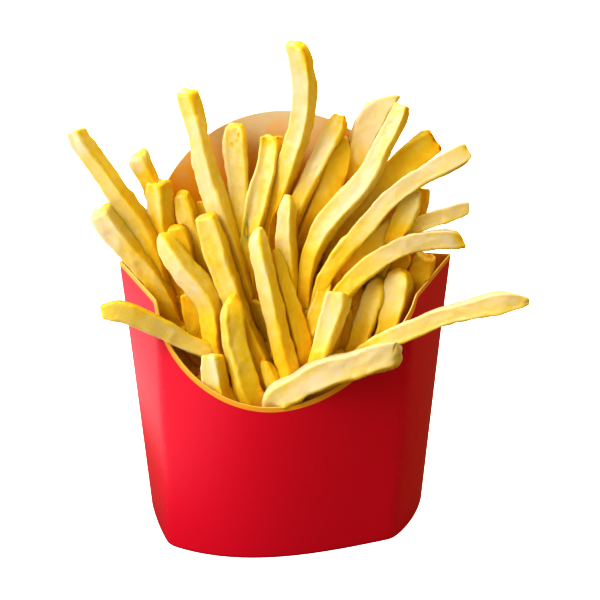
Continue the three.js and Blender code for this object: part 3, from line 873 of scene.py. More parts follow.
SHOWN: dict[Spot, list[Fry]] = {
    Spot.BACK: [
        Fry((13, -1), turn=26, tone=0.1, tip=0.14, cut=0.35, stations=(
            (-30.3, 138.6, 5.5), (-29.2, 134.7, 5.6), (-28, 130.2, 5.6), (-26.9, 124.8, 5.2),
            (-26.1, 119.4, 5.3), (-24.4, 113, 5.9), (-22.1, 106.1, 6.4), (-19.8, 99.4, 6.4),
            (-16, 87.1, 5.9), (-11.9, 72.2, 5.4),
        )),
        Fry((14, 7), turn=12, tone=0.2, fried=0.5,
            spots=((3.3, 0.4, 0.8), (5.9, -0.1, 0.8), (4.9, 0.2, 0.45)), end=End.ROUND, stations=(
            (-15.5, 128.2, 5.5), (-15.6, 124.6, 6.9), (-15.6, 120, 7.5), (-15.1, 113.9, 7.2),
            (-14.6, 107.8, 6.4), (-14.4, 100.1, 6.4), (-13.7, 90.9, 6.4),
        )),
        Fry((12, 3), turn=22, tone=0.24, fried=0.9, groove=0.3, stations=(
            (-4.3, 124.4, 6), (-4.6, 120.3, 6.2), (-5.6, 114.9, 6.5), (-7.6, 108.9, 7.1),
            (-8.9, 103.2, 6.8), (-10.9, 95.7, 5.7), (-12.3, 85.7, 4.9),
        )),
        Fry((11, 8), turn=30, tone=0.12, tip=0.14, fried=0.4, cut=0.62, stations=(
            (2.9, 153.6, 4.9), (4, 151, 5.7), (5.2, 145.5, 5.8), (5.8, 139.3, 5.9),
            (5.5, 132.5, 6), (4.2, 126.3, 6), (2.4, 120.7, 6), (0.2, 113.8, 5.8),
            (-2.3, 106.5, 5.3), (-5.8, 97.3, 4.5),
        )),
        Fry((14, 6), turn=24, tone=0.12, tip=0.2, fried=0.7, end=End.ROUND, stations=(
            (17.1, 129.9, 4), (15.6, 126.3, 5.7), (12.7, 121.3, 5.7), (9.9, 116, 5.4),
            (7, 110.3, 5.1), (4.1, 104.4, 4.9), (1.5, 97.5, 4.3),
        )),
        Fry((15, 9), turn=0, tone=0.5, end=End.ROUND, stations=(
            (17.3, 123.2, 3.8), (16.6, 118.9, 6.4), (15.3, 113.4, 7.7), (13.1, 106.6, 8),
            (9.9, 99.9, 7.7), (6.1, 89.7, 7.1),
        )),
        Fry((17, 15), turn=6, tone=0.02, cut=-1, stations=(
            (30.8, 134.8, 7.5), (28.8, 131.8, 7.8), (26, 127.1, 7.9), (23.6, 121.2, 7.3),
            (22.4, 116.1, 6.1), (21.4, 110.8, 4.9),
        )),
        Fry((12, 5), turn=12, tone=0.46, fried=1.1, stations=(
            (46, 122.9, 7.8), (41.8, 120, 8.4), (36.8, 116.5, 8.1), (31.8, 112.1, 7.5),
            (26.8, 107.4, 6.9), (21.4, 101.4, 6.4), (15.2, 92.6, 5.2),
        )),
    ],
    Spot.LEFT: [
        Fry((3, 5), turn=22, tone=0.26, tip=-0.2, stations=(
            (-63.6, 130, 5.3), (-61.3, 125.3, 5.7), (-57.6, 119.5, 5.6), (-53.4, 112.6, 5.9),
            (-49.1, 105.4, 6.5), (-45, 98.1, 7.1), (-41.6, 89, 6.8), (-38.3, 75.5, 6.6),
        )),
        Fry((9, 8), turn=15, tone=0.55, tip=-0.45, tip_mm=3.4, end=End.TORN, stations=(
            (-45.3, 120, 5.6), (-44.2, 116.9, 5.6), (-42.2, 112.8, 5.6), (-39.9, 105.8, 5.4),
        )),
        Fry((5, 5), turn=38, tone=0.24, fried=0.6, stations=(
            (-39.3, 112.8, 6.2), (-38.9, 108.4, 6.4), (-38.5, 102.9, 6.2), (-37.5, 94.4, 5.2),
        )),
        Fry((6, 5), turn=16, tone=0.32, fried=0.5, stations=(
            (-32.5, 108.3, 4.2), (-31.4, 104.1, 5.6), (-29.1, 96, 6.2), (-26.2, 86.2, 6.2),
        )),
        Fry((10, 9), turn=10, tone=0.6, stations=(
            (-26.7, 104.3, 2.6), (-25.6, 101, 3.8), (-23.8, 94.6, 4.1),
        )),
        Fry((2, 1), turn=10, tone=0.5, fried=0.7, end=End.ROUND, stations=(
            (-34.5, 99.6, 5.2), (-33.1, 94.8, 6.4), (-30.9, 85.9, 6.4),
        )),
        Fry((1, 2), turn=14, tone=0.3, tip=-0.2, tip_mm=13, stations=(
            (-57.3, 105.3, 7.6), (-54, 100, 7.2), (-48.2, 92.3, 6.2), (-42.3, 83.9, 6),
            (-37.9, 75.1, 6), (-35, 67.5, 6.1),
        )),
        Fry((-4, -11), turn=28, tone=0.12, end=End.ROUND, stations=(
            (-38.8, 98.3, 3.9), (-35.9, 93.8, 6), (-32.4, 88.9, 6.6), (-28.2, 83.7, 6.8),
            (-25, 78.5, 6.6), (-23.6, 72, 5.8), (-22.8, 64.6, 5.3),
        )),
        Fry((0, -3), ((-30.5, 78, 5.3), (-28.7, 71.4, 5.9), (-26.4, 62, 5.9)), turn=10, tone=0.6),
    ],
    Spot.MIDDLE: [
        Fry((-1, -15), turn=12, tone=0.34, fried=0.3, stations=(
            (-25.4, 103.7, 6.3), (-24.5, 100.8, 6.5), (-22.5, 95.5, 7.1), (-20.8, 90.1, 7.1),
            (-19, 84.2, 6.9), (-17, 77.9, 6.3), (-14.1, 71, 6.3), (-10.6, 62.9, 6.3),
            (-7.4, 53.9, 5.7),
        )),
        Fry((2, -4), turn=30, tone=0.1, stations=(
            (0.3, 108.6, 1.6), (0.1, 105.9, 3.9), (-0.3, 101.1, 5), (-0.4, 95, 5.3),
            (-0.2, 87.8, 5), (0, 79.8, 4.5),
        )),
        Fry((-3, -12), turn=-24, tone=0.5, stations=(
            (-4.2, 93, 1.9), (-3.3, 89.1, 3.2), (-1.6, 82.3, 4.3), (0.4, 75.4, 5.1),
            (2.5, 68.2, 5.7), (3.9, 60.7, 5.4),
        )),
        Fry((7, -4), turn=32, tone=0.1, fried=0.5, stations=(
            (35.4, 134.8, 5.4), (33, 129.1, 5.5), (29, 122.2, 5.5), (26.5, 117.4, 5.7),
            (22.8, 111.8, 6.5), (18.2, 106.7, 7), (13.2, 101.1, 6.5), (8.9, 94.8, 5.8),
            (6.3, 88.7, 5), (5.1, 81.2, 4.5), (4.7, 73.7, 3.7),
        )),
        Fry((-6, -17), turn=36, tone=0.14, stations=(
            (-9, 100.9, 1.8), (-9.5, 98, 4.4), (-8.9, 93.9, 5.1), (-7.5, 87, 5.1),
            (-6.1, 79.6, 5.3), (-4.4, 72.1, 5.4), (-2.7, 65.2, 5.4), (-0.7, 58, 5.2),
        )),
        Fry((-2, -6), ((8.9, 78.5, 4.7), (5.8, 67.2, 5.9)), turn=10, tone=0.58),
        Fry((-4, -9), turn=20, tone=0.44, fried=0.5, end=End.TORN, stations=(
            (12.4, 85.8, 1.4), (11.4, 81.9, 3.6), (9.5, 77, 4.1), (7.3, 71, 4.4), (4.7, 63.4, 4.1),
        )),
    ],
    Spot.RIGHT: [
        Fry((6, -5), turn=20, tone=0.08, fried=1.4, end=End.ROUND, stations=(
            (55.3, 120.1, 5.5), (50.3, 117.6, 6.3), (42.9, 114.1, 5.9), (35.4, 109.6, 5.5),
            (30.4, 105.9, 5.7), (24.2, 99.7, 6), (18.3, 93.3, 5.6), (13.9, 88, 4.9),
            (10.5, 81.9, 4.4),
        )),
        Fry((4, 1), turn=14, tone=0.2, end=End.ROUND, stations=(
            (39.3, 108.8, 4), (37.5, 104, 6.5), (35.3, 99.2, 6.3), (32.8, 94.3, 5.1),
        )),
        Fry((13, 11), turn=10, tone=0.6, stations=(
            (43.4, 106.4, 3.6), (42.6, 102.7, 4.4), (40.4, 95.2, 4.8),
        )),
        Fry((5, -1), turn=14, tone=0.42, end=End.ROUND, stations=(
            (36.2, 100.1, 5.1), (30.2, 95.6, 6), (24.2, 91.5, 5.7), (17.9, 85.5, 5.1),
        )),
        Fry((-1, -5), turn=10, tone=0.72, end=End.ROUND, stations=(
            (21.3, 80.1, 4.7), (19.7, 72.9, 6.2), (17.7, 64.4, 6.2),
        )),
        Fry((4, 0), turn=10, tone=0.56, end=End.ROUND, stations=(
            (36, 89.2, 6.5), (32.8, 83.9, 6.8), (29.6, 76.2, 6.5),
        )),
        Fry((6, 2), turn=12, tone=0.12, cut=0.35, stations=(
            (55.9, 102.1, 3.8), (52.8, 101.2, 4.3), (49, 100.1, 4.5), (42.7, 98.3, 4.3),
            (36.4, 95.8, 3.8), (29.5, 92.7, 3.5),
        )),
        Fry((2, -9), turn=22, tone=0.08, tip=0.45, tip_mm=2.8, fried=0.6, cut=-0.5, stations=(
            (53.9, 92.9, 4.7), (50.2, 93.6, 5.7), (43.8, 93.9, 6), (36.2, 93.2, 6),
            (29.2, 90.4, 6), (23.6, 86.6, 6), (18.9, 82.7, 5.7), (15.1, 78.1, 5.4),
        )),
        Fry((3, 2), ((42.9, 87.5, 6.5), (41.6, 82.3, 7.1), (39.8, 75.9, 6.5)), turn=10, tone=0.56),
        Fry((-3, -8), turn=24, tone=0.26, end=End.ROUND, stations=(
            (27.9, 82.8, 4.3), (26.7, 78.5, 6.5), (24.8, 73.1, 6.8), (22.8, 67, 6.5),
            (20.9, 61.6, 6),
        )),
        Fry((-3, -8), turn=22, tone=0.22, fried=0.4, end=End.ROUND, stations=(
            (33.8, 85.6, 4.9), (33.8, 82, 7.4), (32.8, 76.2, 7.6), (31.5, 70.8, 6.8),
            (29.9, 65.4, 6.6),
        )),
    ],
    Spot.FRONT: [
        Fry((-18, -18.5), turn=26, tone=0.1, fried=0.5, stations=(
            (-24.3, 64.6, 5.3), (-23.9, 59.8, 5.8), (-22.2, 51.8, 6.1),
        )),
        Fry((-15, -19), turn=-16, tone=0.44, cut=-0.7, stations=(
            (-19.1, 81.6, 3.9), (-18.4, 77.6, 6.3), (-17.1, 68.8, 6.9), (-15.1, 59.4, 7.2),
            (-12.8, 50.5, 7.3),
        )),
        Fry((-16.5, -18), turn=14, tone=0.5, fried=0.9, end=End.TORN, stations=(
            (-8.9, 62.6, 2), (-7.7, 59.8, 3.4), (-5.9, 55.9, 4.2), (-4.1, 51.5, 4.5),
        )),
        Fry((-19, -19), turn=10, tone=0.66, end=End.ROUND, stations=(
            (17.9, 57.7, 3.8), (13, 54.8, 4.9), (6.8, 52, 5.5), (0.7, 48.7, 5.2),
        )),
        Fry((-11, -17), turn=30, tone=0.1, stations=(
            (15.1, 81.2, 7.1), (14.3, 77.7, 6.9), (12.4, 71.8, 6.3), (10.4, 65.9, 5.8),
            (7.9, 59.1, 5.2),
        )),
        Fry((-17, -11), turn=-22, tone=0.32, end=End.ROUND, over=True, stations=(
            (-57.2, 79.1, 4), (-54.2, 79.2, 5.8), (-50.1, 78.5, 6.4), (-44.2, 75.7, 6.3),
            (-38.2, 71.8, 5.9), (-32.2, 67.6, 5.4), (-26.8, 64.1, 5.1), (-22.3, 60.6, 4.9),
        )),
        Fry((-26, -13), turn=20, tone=0.2, end=End.TORN, over=True, stations=(
            (71.6, 82.9, 1.6), (68.4, 83, 4), (64.4, 82.4, 5.9), (59.2, 81, 6.2),
            (52.3, 78.5, 5.6), (45, 75.7, 5.5), (37.7, 72.1, 5.6), (31.2, 68.3, 5.7),
            (25.9, 64.4, 5.5), (21.4, 60.7, 4.9),
        )),
        Fry((-21.5, -21), turn=22, tone=0.02, fried=0.5, cut=0.6, end=End.TORN, over=True,
            stations=(
            (32.8, 65.7, 5.4), (31.3, 64.7, 6.7), (28.6, 64.1, 7.8), (23.7, 62.9, 8.3),
            (17.6, 61, 8.3), (11.6, 59.8, 8.1), (5.8, 57.6, 8.3), (0.3, 54.7, 8.1),
            (-4.9, 51.8, 7.5),
        )),
    ],
}


@dataclass(frozen=True)
class Ripple:
    """A field of noise on a fry: its height, the size of its cells and its seed."""

    height: float
    cell: float | Triple
    seed: int

    def at(self, points: Array) -> Array:
        """The height of the noise at each point."""
        return self.height * lattice_noise(points, self.cell, self.seed)

    def above(self, points: Array, level: float) -> Array:
        """What stands above a level of the noise."""
        return self.height * np.maximum(lattice_noise(points, self.cell, self.seed) - level, 0.0)


@dataclass
class Heap:
    """The fries, one by one, and the core that they stand in.

    Attributes:
        carton: the board that the heap stands in.
        core_front: y and height of the core's top at the front; core_slope is its climb with y.
        sink: how deep a root goes into the core.
        root_pull: how far towards the middle a root leans, as a share of x.
        root_y: range of the roots' y.
        spline_steps: points on the curve from one station to the next.
        look_mm: how far before and behind a ring the way along the fry is taken.
        twist: slow turn from tip to root, in radians.
        fill_rows: y, height, number and half width of each row behind the fries that show.
        fill_side: width of their faces.
        fill_fan: how much they lean outwards; fill_drop is how much lower a row is at its ends.
        fill_jitter: how far a tip may be off in x, y and z, by draws from seed.
        columns: points on each face and on each corner, of the ones that show and of the others.
        corner: radius of the corners of the sharp section and of the round one.
        sunk: how far a face sinks, as a share of its half width.
        painted_side_shade: painted shade and light: how much browner a right face is made than the
            middle, and a left face paler.
        shade_tone: painted shade, the tone that fries turn to deep in the heap.
        depth_shade: how far a fry turns to that; depth_shade_over is the same over the edge.
        ring_mm: length between rings.
        dish_mm: depth of a cut end face.
        ragged: how rough an end is, and how rough a torn one.
    """

    carton: Carton
    core_front: tuple[float, float] = (-26.0, 42.0)
    core_slope: float = 0.62
    sink: float = 5.0
    root_pull: float = 0.62
    root_y: tuple[float, float] = (-17.0, 9.0)
    spline_steps: int = 16
    look_mm: float = 1.2
    twist: float = 0.25
    fill_rows: tuple[tuple[int, int, int, int], ...] = (
        (-14, 52, 6, 22),
        (-8, 64, 8, 30),
        (-1, 78, 9, 34),
        (6, 90, 9, 37),
        (12, 96, 7, 28),
    )
    fill_side: float = 7.0
    fill_fan: float = 0.28
    fill_drop: float = 14.0
    fill_jitter: Triple = (2.2, 1.6, 5.0)
    seed: int = 20416
    columns: tuple[tuple[int, int], tuple[int, int]] = ((8, 5), (5, 3))
    corner: tuple[float, float] = (0.2, 0.8)
    sunk: float = 0.03
    # Painted shade on right faces and painted light on left faces.
    painted_side_shade: float = 0.3
    # Painted shade deep in the heap.
    shade_tone: float = 0.78
    depth_shade: float = 0.75
    depth_shade_over: float = 0.25
    ring_mm: float = 0.7
    dish_mm: float = 0.55
    ragged: tuple[float, float] = (0.4, 1.1)
    slow: tuple[Ripple, Ripple] = (Ripple(0.05, 11.0, 1), Ripple(0.05, 11.0, 2))
    quick: tuple[Ripple, Ripple] = (Ripple(0.03, 4.5, 7), Ripple(0.03, 4.5, 8))
    wander: tuple[Ripple, Ripple] = (Ripple(0.38, 13.0, 11), Ripple(0.38, 13.0, 12))
    askew: Ripple = Ripple(0.13, 16.0, 10)
    rounder: Ripple = Ripple(0.3, 8.0, 15)
    dents: Ripple = Ripple(0.18, (3.6, 3.6, 7.0), 3)
    lumps: Ripple = Ripple(0.17, (1.9, 1.9, 2.6), 4)
    blisters: Ripple = Ripple(0.34, (1.4, 1.4, 1.9), 5)
    nicks: Ripple = Ripple(0.4, (2.6, 2.6, 3.4), 14)
    tilt: Ripple = Ripple(0.45, 3.0, 13)
    crumbs: Ripple = Ripple(1.0, 1.8, 6)
    streaks: Ripple = Ripple(0.16, (2.2, 2.2, 14.0), 9)
    bed: Ripple = Ripple(1.2, 7.0, 8)

    def core_height(self, y: Any) -> Any:
        """Height of the core at y: a plane that climbs to the back."""
        return self.core_front[1] + self.core_slope * (y - self.core_front[0])

    def curve(self, fry: Fry) -> Array:
        """The middle line of a fry from its tip through its foot to its root, as close points.

        A centripetal Catmull-Rom spline runs through the stations and the root. The depth changes
        evenly along the stretch that shows, and the root lies in the core, nearer to the middle.

        Args:
            fry: its sizes.

        Returns:
            Rows of x, y, z and the width of a face.
        """
        x, z, side = np.array(fry.stations, float).T
        share = np.concatenate([[0.0], np.cumsum(np.hypot(np.diff(x), np.diff(z)))])
        y = mix(*fry.depth, share / share[-1])
        low = min(z[-1], self.core_height(y[-1])) - self.sink
        deep = min(max(y[-1], self.root_y[0]), self.root_y[1])
        root = [[self.root_pull * x[-1], deep, low, side[-1]]]
        return self._spline(np.concatenate([np.stack([x, y, z, side], -1), root]))

    def _spline(self, points: Array) -> Array:
        """A centripetal Catmull-Rom spline: the cubic with the tangents of the points it joins."""
        first, last = 2 * points[0] - points[1], 2 * points[-1] - points[-2]
        p = np.concatenate([[first], points, [last]])
        gap = np.linalg.norm(np.diff(p[:, :3], axis=0), axis=1, keepdims=True) ** 0.5
        before, here, after = gap[:-2], gap[1:-1], gap[2:]
        p0, p1, p2, p3 = p[:-3], p[1:-2], p[2:-1], p[3:]
        m1 = ((p1 - p0) / before - (p2 - p0) / (before + here) + (p2 - p1) / here) * here
        m2 = ((p2 - p1) / here - (p3 - p1) / (here + after) + (p3 - p2) / after) * here
        u = np.linspace(0.0, 1.0, self.spline_steps, endpoint=False)[None, :, None]
        cubic = (
            (2 * u**3 - 3 * u**2 + 1) * p1[:, None]
            + (u**3 - 2 * u**2 + u) * m1[:, None]
            + (3 * u**2 - 2 * u**3) * p2[:, None]
            + (u**3 - u**2) * m2[:, None]
        )
        return np.concatenate([cubic.reshape(-1, points.shape[1]), points[-1:]])

    def section(self, flat: int, bend: int, corner: float) -> tuple[Array, Array, Array]:
        """A square of half width 1 with rounded corners, as one closed row of points.

        Args:
            flat: points on each face.
            bend: points on each corner.
            corner: radius of the corners, from 0 for a square to 1 for a circle.

        Returns:
            The points, the outward directions and a mark that is 1 on a corner and 0 on a face.
        """
        straight = 1 - corner
        w = np.linspace(-straight, straight, flat, endpoint=False) + straight / flat
        a = np.linspace(0.0, math.pi / 2, bend, endpoint=False) + math.pi / 4 / bend
        face = np.stack([np.ones(flat), w], -1)
        arc = np.stack([np.cos(a), np.sin(a)], -1)
        place = np.concatenate([face, straight + corner * arc])
        out = np.concatenate([np.stack([np.ones(flat), np.zeros(flat)], -1), arc])
        near = np.concatenate([np.abs(w / straight) ** 4 * 0.8, np.ones(bend)])
        turns = [np.array([[1, 0], [0, 1]]), np.array([[0, 1], [-1, 0]])]
        turns += [-turns[0], -turns[1]]
        places = np.concatenate([place @ q for q in turns])
        outs = np.concatenate([out @ q for q in turns])
        return places, outs, np.tile(near, 4)

    def stick(self, fry: Fry, number: int, flat: int, bend: int) -> tuple[Array, dict[str, Array]]:
        """One fry as a grid of rings from the middle of its tip to the middle of its root.

        A ring is the section, scaled to the fry's half width there and square to the curve. At an
        end the rings round a shoulder and close over the end face. Noise on the fry's own
        coordinates moves each point along its outward direction.

        Args:
            fry: its sizes.
            number: its place in the heap, which picks its noise.
            flat: points on each face of the section.
            bend: points on each corner of the section.

        Returns:
            The points in mm, shape (rings, columns, 3), and the marks tone, edge and fried.
        """
        path = self.curve(fry)
        run = np.cumsum(np.linalg.norm(np.diff(path[:, :3], axis=0, prepend=path[:1, :3]), axis=1))
        at, inset, shrink = self._rings(fry.end, path[0, 3], path[-1, 3], run[-1])
        half = np.interp(at, run, path[:, 3]) / 2
        own = np.array([number * 37.0, number * 11.0, 0.0])
        centre, across, up, along = self._axes(fry, number, path, run, at)
        sharp, outs, near = self.section(flat, bend, self.corner[0])
        round_ = self.section(flat, bend, self.corner[1])[0]
        line = np.stack([0 * at, 0 * at, at], -1) + own
        rounder = 0.12 + self.rounder.at(line) + 0.35 * smooth(4.0, 0.0, at)
        places = mix(sharp, round_, np.clip(rounder, 0.0, 1.0)[:, None, None])
        plane, rest = self._widths(half, at, inset, shrink, places, own)
        push = self._relief(fry, rest + own, outs, near) * smooth(0.0, 0.3, shrink)[:, None]
        aside = plane + outs[None, :, :] * push[..., None]
        ahead = self._end_face(fry, at, shrink, plane, rest + own, run[-1])[..., None]
        points = centre[:, None, :] + across[:, None, :] * aside[..., :1]
        points = points + up[:, None, :] * aside[..., 1:] + along[:, None, :] * ahead
        rim = smooth(1.8, 0.2, at)[:, None] * smooth(0.6, 1.0, shrink)[:, None]
        burnt = rim * (0.6 + 0.4 * near[None, :]) + 0.4 * smooth(5.5, 0.5, at)[:, None]
        end = smooth(fry.tip_mm + 1.2, fry.tip_mm - 1.2, at)[:, None]
        # Painted shade and light: a right face's tone is made browner and a left face's paler, as
        # if lit from the left.
        painted_side_shade = self.painted_side_shade * (1.1 - fry.tone)
        tone = fry.tone + fry.tip * end + painted_side_shade * outs[None, :, 0]
        seen = run[self.spline_steps * (len(fry.stations) - 1)]
        # Painted shade: down the stretch that shows, the tone turns towards the dark golden of the
        # shaded depth of the heap.
        depth_shade = self.depth_shade_over if fry.over else self.depth_shade
        tone = mix(tone, self.shade_tone, depth_shade * smooth(0.4 * seen, 1.05 * seen, at)[:, None])
        spotted = [self._spot(spot, at, half, places, outs) for spot in fry.spots]
        marks = {
            "tone": tone + self.streaks.at(rest + own),
            "edge": near[None, :] * shrink[:, None],
            "fried": np.clip(burnt, 0.0, 1.0) * fry.fried + sum(spotted),
        }
        return self.carton.keep_clear(points, fry.over), marks

    def _spot(self, spot: Triple, at: Array, half: Array, places: Array, outs: Array) -> Array:
        """A mark that is highest in the middle of a front face's spot and 0 past its radius.

        Args:
            spot: as in Fry.
            at: each ring's distance from the tip.
            half: the fry's half width there.
            places: places on the section of half width 1.
            outs: outward directions of the section.

        Returns:
            The mark, shape (rings, columns).
        """
        aside = (places[..., 0] - spot[1]) * half[:, None]
        away = np.hypot(at[:, None] - spot[0], aside)
        return 2.6 * smooth(spot[2], 0.3 * spot[2], away) * smooth(0.3, 0.6, outs[:, 1])[None, :]

    def _rings(
        self, end: End, tip: float, root: float, length: float
    ) -> tuple[Array, Array, Array]:
        """Where the rings of a fry are.

        Each end is closed by rings of growing size on its end face and a quarter-circle shoulder.

        Args:
            end: how the tip is finished.
            tip: width of a face at the tip.
            root: width of a face at the root.
            length: length of the fry.

        Returns:
            Each ring's distance from the tip, how far it is inset, and its size as a share.
        """
        first, last = end.softness * tip / 2, end.softness * root / 2
        a = np.linspace(0.0, math.pi / 2, 7)
        cap = np.linspace(0.0, 1.0, 6)[:-1]
        count = max(8, round(length / self.ring_mm))
        body = np.linspace(first, length - last, count)[1:-1]
        bend, step = 1 - np.sin(a), 1 - np.cos(a)
        at = [0 * cap, first * step, body, length - last * step[::-1], length + 0 * cap]
        inset = [0 * cap + first, first * bend, 0 * body, last * bend[::-1], 0 * cap + last]
        share = [cap, 0 * a + 1, 0 * body + 1, 0 * a + 1, cap[::-1]]
        return np.concatenate(at), np.concatenate(inset), np.concatenate(share)

    def _axes(
        self, fry: Fry, number: int, path: Array, run: Array, at: Array
    ) -> tuple[Array, Array, Array, Array]:
        """The middle of each ring and its three directions: across, up and along the fry.

        Up is the way to the front made square to the curve, and then rolled by the fry's turn and
        by a slow twist. The middle wanders a little from the curve.

        Args:
            fry: its sizes.
            number: its place in the heap.
            path: the points of its curve.
            run: their distances from the tip.
            at: each ring's distance from the tip.

        Returns:
            The middles and the three directions, one row a ring each.
        """
        steps = (0.0, -self.look_mm, self.look_mm)
        centre, behind, ahead = (
            np.stack([np.interp(at + step, run, path[:, i]) for i in range(3)], axis=-1)
            for step in steps
        )
        along = unit(ahead - behind)
        front = np.array([0.0, -1.0, 0.0])
        up = unit(front - along * (along @ front)[:, None])
        across = np.cross(up, along)
        twist = self.twist * (1 if number % 2 else -1)
        roll = math.radians(fry.turn) + twist * (at / run[-1] - 0.3)
        c, s = np.cos(roll)[:, None], np.sin(roll)[:, None]
        across, up = across * c + up * s, up * c - across * s
        line = np.stack([0 * at + number * 5.3, 0 * at, at], axis=-1)
        wander = [ripple.at(line)[:, None] for ripple in self.wander]
        centre = centre + across * wander[0] + up * wander[1]
        return centre, across, up, along

    def _widths(
        self, half: Array, at: Array, inset: Array, shrink: Array, places: Array, own: Array
    ) -> tuple[Array, Array]:
        """The section at each ring: the square, scaled by its half width and slow noise, and askew.

        Args:
            half: the fry's half width at each ring.
            at: the ring's distance from the tip.
            inset: how far it is drawn in on a shoulder.
            shrink: its size on an end face, as a share.
            places: places on the section of half width 1, one row a ring.
            own: where the fry lies in the noise.

        Returns:
            Places in the ring's plane, shape (rings, columns, 2), and the same with the distance
            along the fry as a third number.
        """
        line = np.stack([0 * at, 0 * at, at], -1) + own
        wide, deep = (
            np.maximum(half * (1 + slow.at(line) + quick.at(line)) - inset, 0.1 * half)
            for slow, quick in zip(self.slow, self.quick)
        )
        askew = self.askew.at(line)[:, None]
        u = (places[..., 0] + askew * places[..., 1]) * (wide * shrink)[:, None]
        v = places[..., 1] * (deep * shrink)[:, None]
        flat = np.stack([u, v], axis=-1)
        third = np.broadcast_to(at[:, None, None], (*u.shape, 1))
        return flat, np.concatenate([flat, third], axis=-1)

    def _relief(self, fry: Fry, place: Array, outs: Array, near: Array) -> Array:
        """How far the crust stands out: dents, lumps, blisters, nicked edges and sunk faces.

        Args:
            fry: its sizes.
            place: each point's place in the noise.
            outs: outward directions of the section.
            near: 1 on a corner of the section and 0 on a face.

        Returns:
            One number a point.
        """
        dents = self.dents.at(place)
        lumps = self.lumps.at(place)
        blisters = self.blisters.above(place, 0.2)
        nicks = self.nicks.above(place, 0.12) * near[None, :]
        front = smooth(0.2, 0.8, outs[:, 1])
        sunk = fry.side / 2 * (self.sunk + fry.groove * front) * (1 - near)
        return dents + lumps + blisters - nicks - sunk[None, :]

    def _end_face(
        self, fry: Fry, at: Array, shrink: Array, flat: Array, place: Array, length: float
    ) -> Array:
        """How far points move along the fry: the slant of its tip, a sunk or torn end face.

        Args:
            fry: its sizes.
            at: each ring's distance from the tip.
            shrink: its size on an end face, as a share.
            flat: places in its plane.
            place: each point's place in the noise.
            length: length of the fry.

        Returns:
            One number a point.
        """
        slant = fry.cut * smooth(3.0 * fry.side, 0.0, at)[:, None] * flat[..., 0]
        tilt = self.tilt.at(place[:1, :1])
        lean = tilt * smooth(2.0 * fry.side, 0.0, at)[:, None] * flat[..., 1]
        sunk = self.dish_mm if fry.end is End.CUT else 0.0
        dish = sunk * np.where(at < length / 2, 1 - shrink**2, 0.0)[:, None]
        rough = self.ragged[fry.end is End.TORN]
        ragged = rough * smooth(1.6 * fry.side, 0.0, at)[:, None] * self.crumbs.at(place)
        return slant + lean + dish + ragged

    def fillers(self) -> list[Fry]:
        """The rows of fries behind the ones that show, standing on the core and fanned out."""
        draw = seeded(self.seed)
        made: list[Fry] = []
        for y, top, count, spread in self.fill_rows:
            for i in range(count):
                s = (2 * (i + 0.5)) / count - 1
                x = s * spread + (2 * next(draw) - 1) * self.fill_jitter[0]
                z = top - self.fill_drop * s * s + (2 * next(draw) - 1) * self.fill_jitter[2]
                deep = y + (2 * next(draw) - 1) * self.fill_jitter[1]
                rise = z - self.core_height(deep) + self.sink
                turn = 40.0 * math.sin(12.9898 * len(made))
                tone = 0.58 + 0.12 * math.sin(7.7 * len(made))
                stations = (
                    (x + self.fill_fan * s * rise, z, self.fill_side),
                    (x, self.core_height(deep), self.fill_side),
                )
                made.append(Fry((deep, deep), stations, turn=turn, tone=tone, fried=0.4))
        return made

    def build(self, material: bpy.types.Material) -> None:
        """Makes one piece for each bunch of fries, one for the fillers and the core."""
        number = 0
        for spot, fries in {**SHOWN, Spot.FILL: self.fillers()}.items():
            mesh = Patchwork(("tone", "edge", "fried"))
            for fry in fries:
                mesh.add(*self.stick(fry, number, *self.columns[spot is Spot.FILL]))
                number += 1
            made = mesh.piece(f"fries_{spot.value}", material)
            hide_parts("fries")
        self._core(material)

    def _core(self, material: bpy.types.Material) -> None:
        """The bed in the carton: its inside, up to a dented plane that climbs to the back."""
        carton = self.carton
        depth = carton.board + carton.air
        wall, _ = carton.loop(np.linspace(0.0, 1.0, 30), depth)
        wall = wall + carton.inwards(wall) * depth
        top = wall[-1].copy()
        for _ in range(6):
            level = self.core_height(top[:, 1])
            share = np.clip((level - depth) / (wall[-1, :, 2] - depth), 0.0, 1.0)
            top = mix(wall[0], wall[-1], share[:, None])
        sides = mix(wall[0][None], top[None], np.linspace(0.0, 1.0, 8)[:, None, None])
        middle = top.mean(axis=0)
        rings = mix(top[None], middle, np.linspace(0.0, 1.0, 24)[1:, None, None])
        dents = self.bed.at(rings) - self.bed.height
        rings[..., 2] = self.core_height(rings[..., 1]) + dents
        low = mix(wall[0][None], wall[0].mean(axis=0), np.linspace(1.0, 0.0, 6)[:-1, None, None])
        mesh = Patchwork(("tone", "edge", "fried"))
        mesh.add(np.concatenate([low, sides, rings]), {"tone": 0.6})
        made = mesh.piece("fries_core", material)
        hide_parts("fries")


# ---- Studio ----


@dataclass(frozen=True)
class Lamp:
    """A soft square light; azimuth 0 is in front of the carton and a negative one at its left."""

    name: str
    azimuth: float
    elevation: float
    away: float
    size: float
    power: float
    tint: Triple = (1.0, 1.0, 1.0)


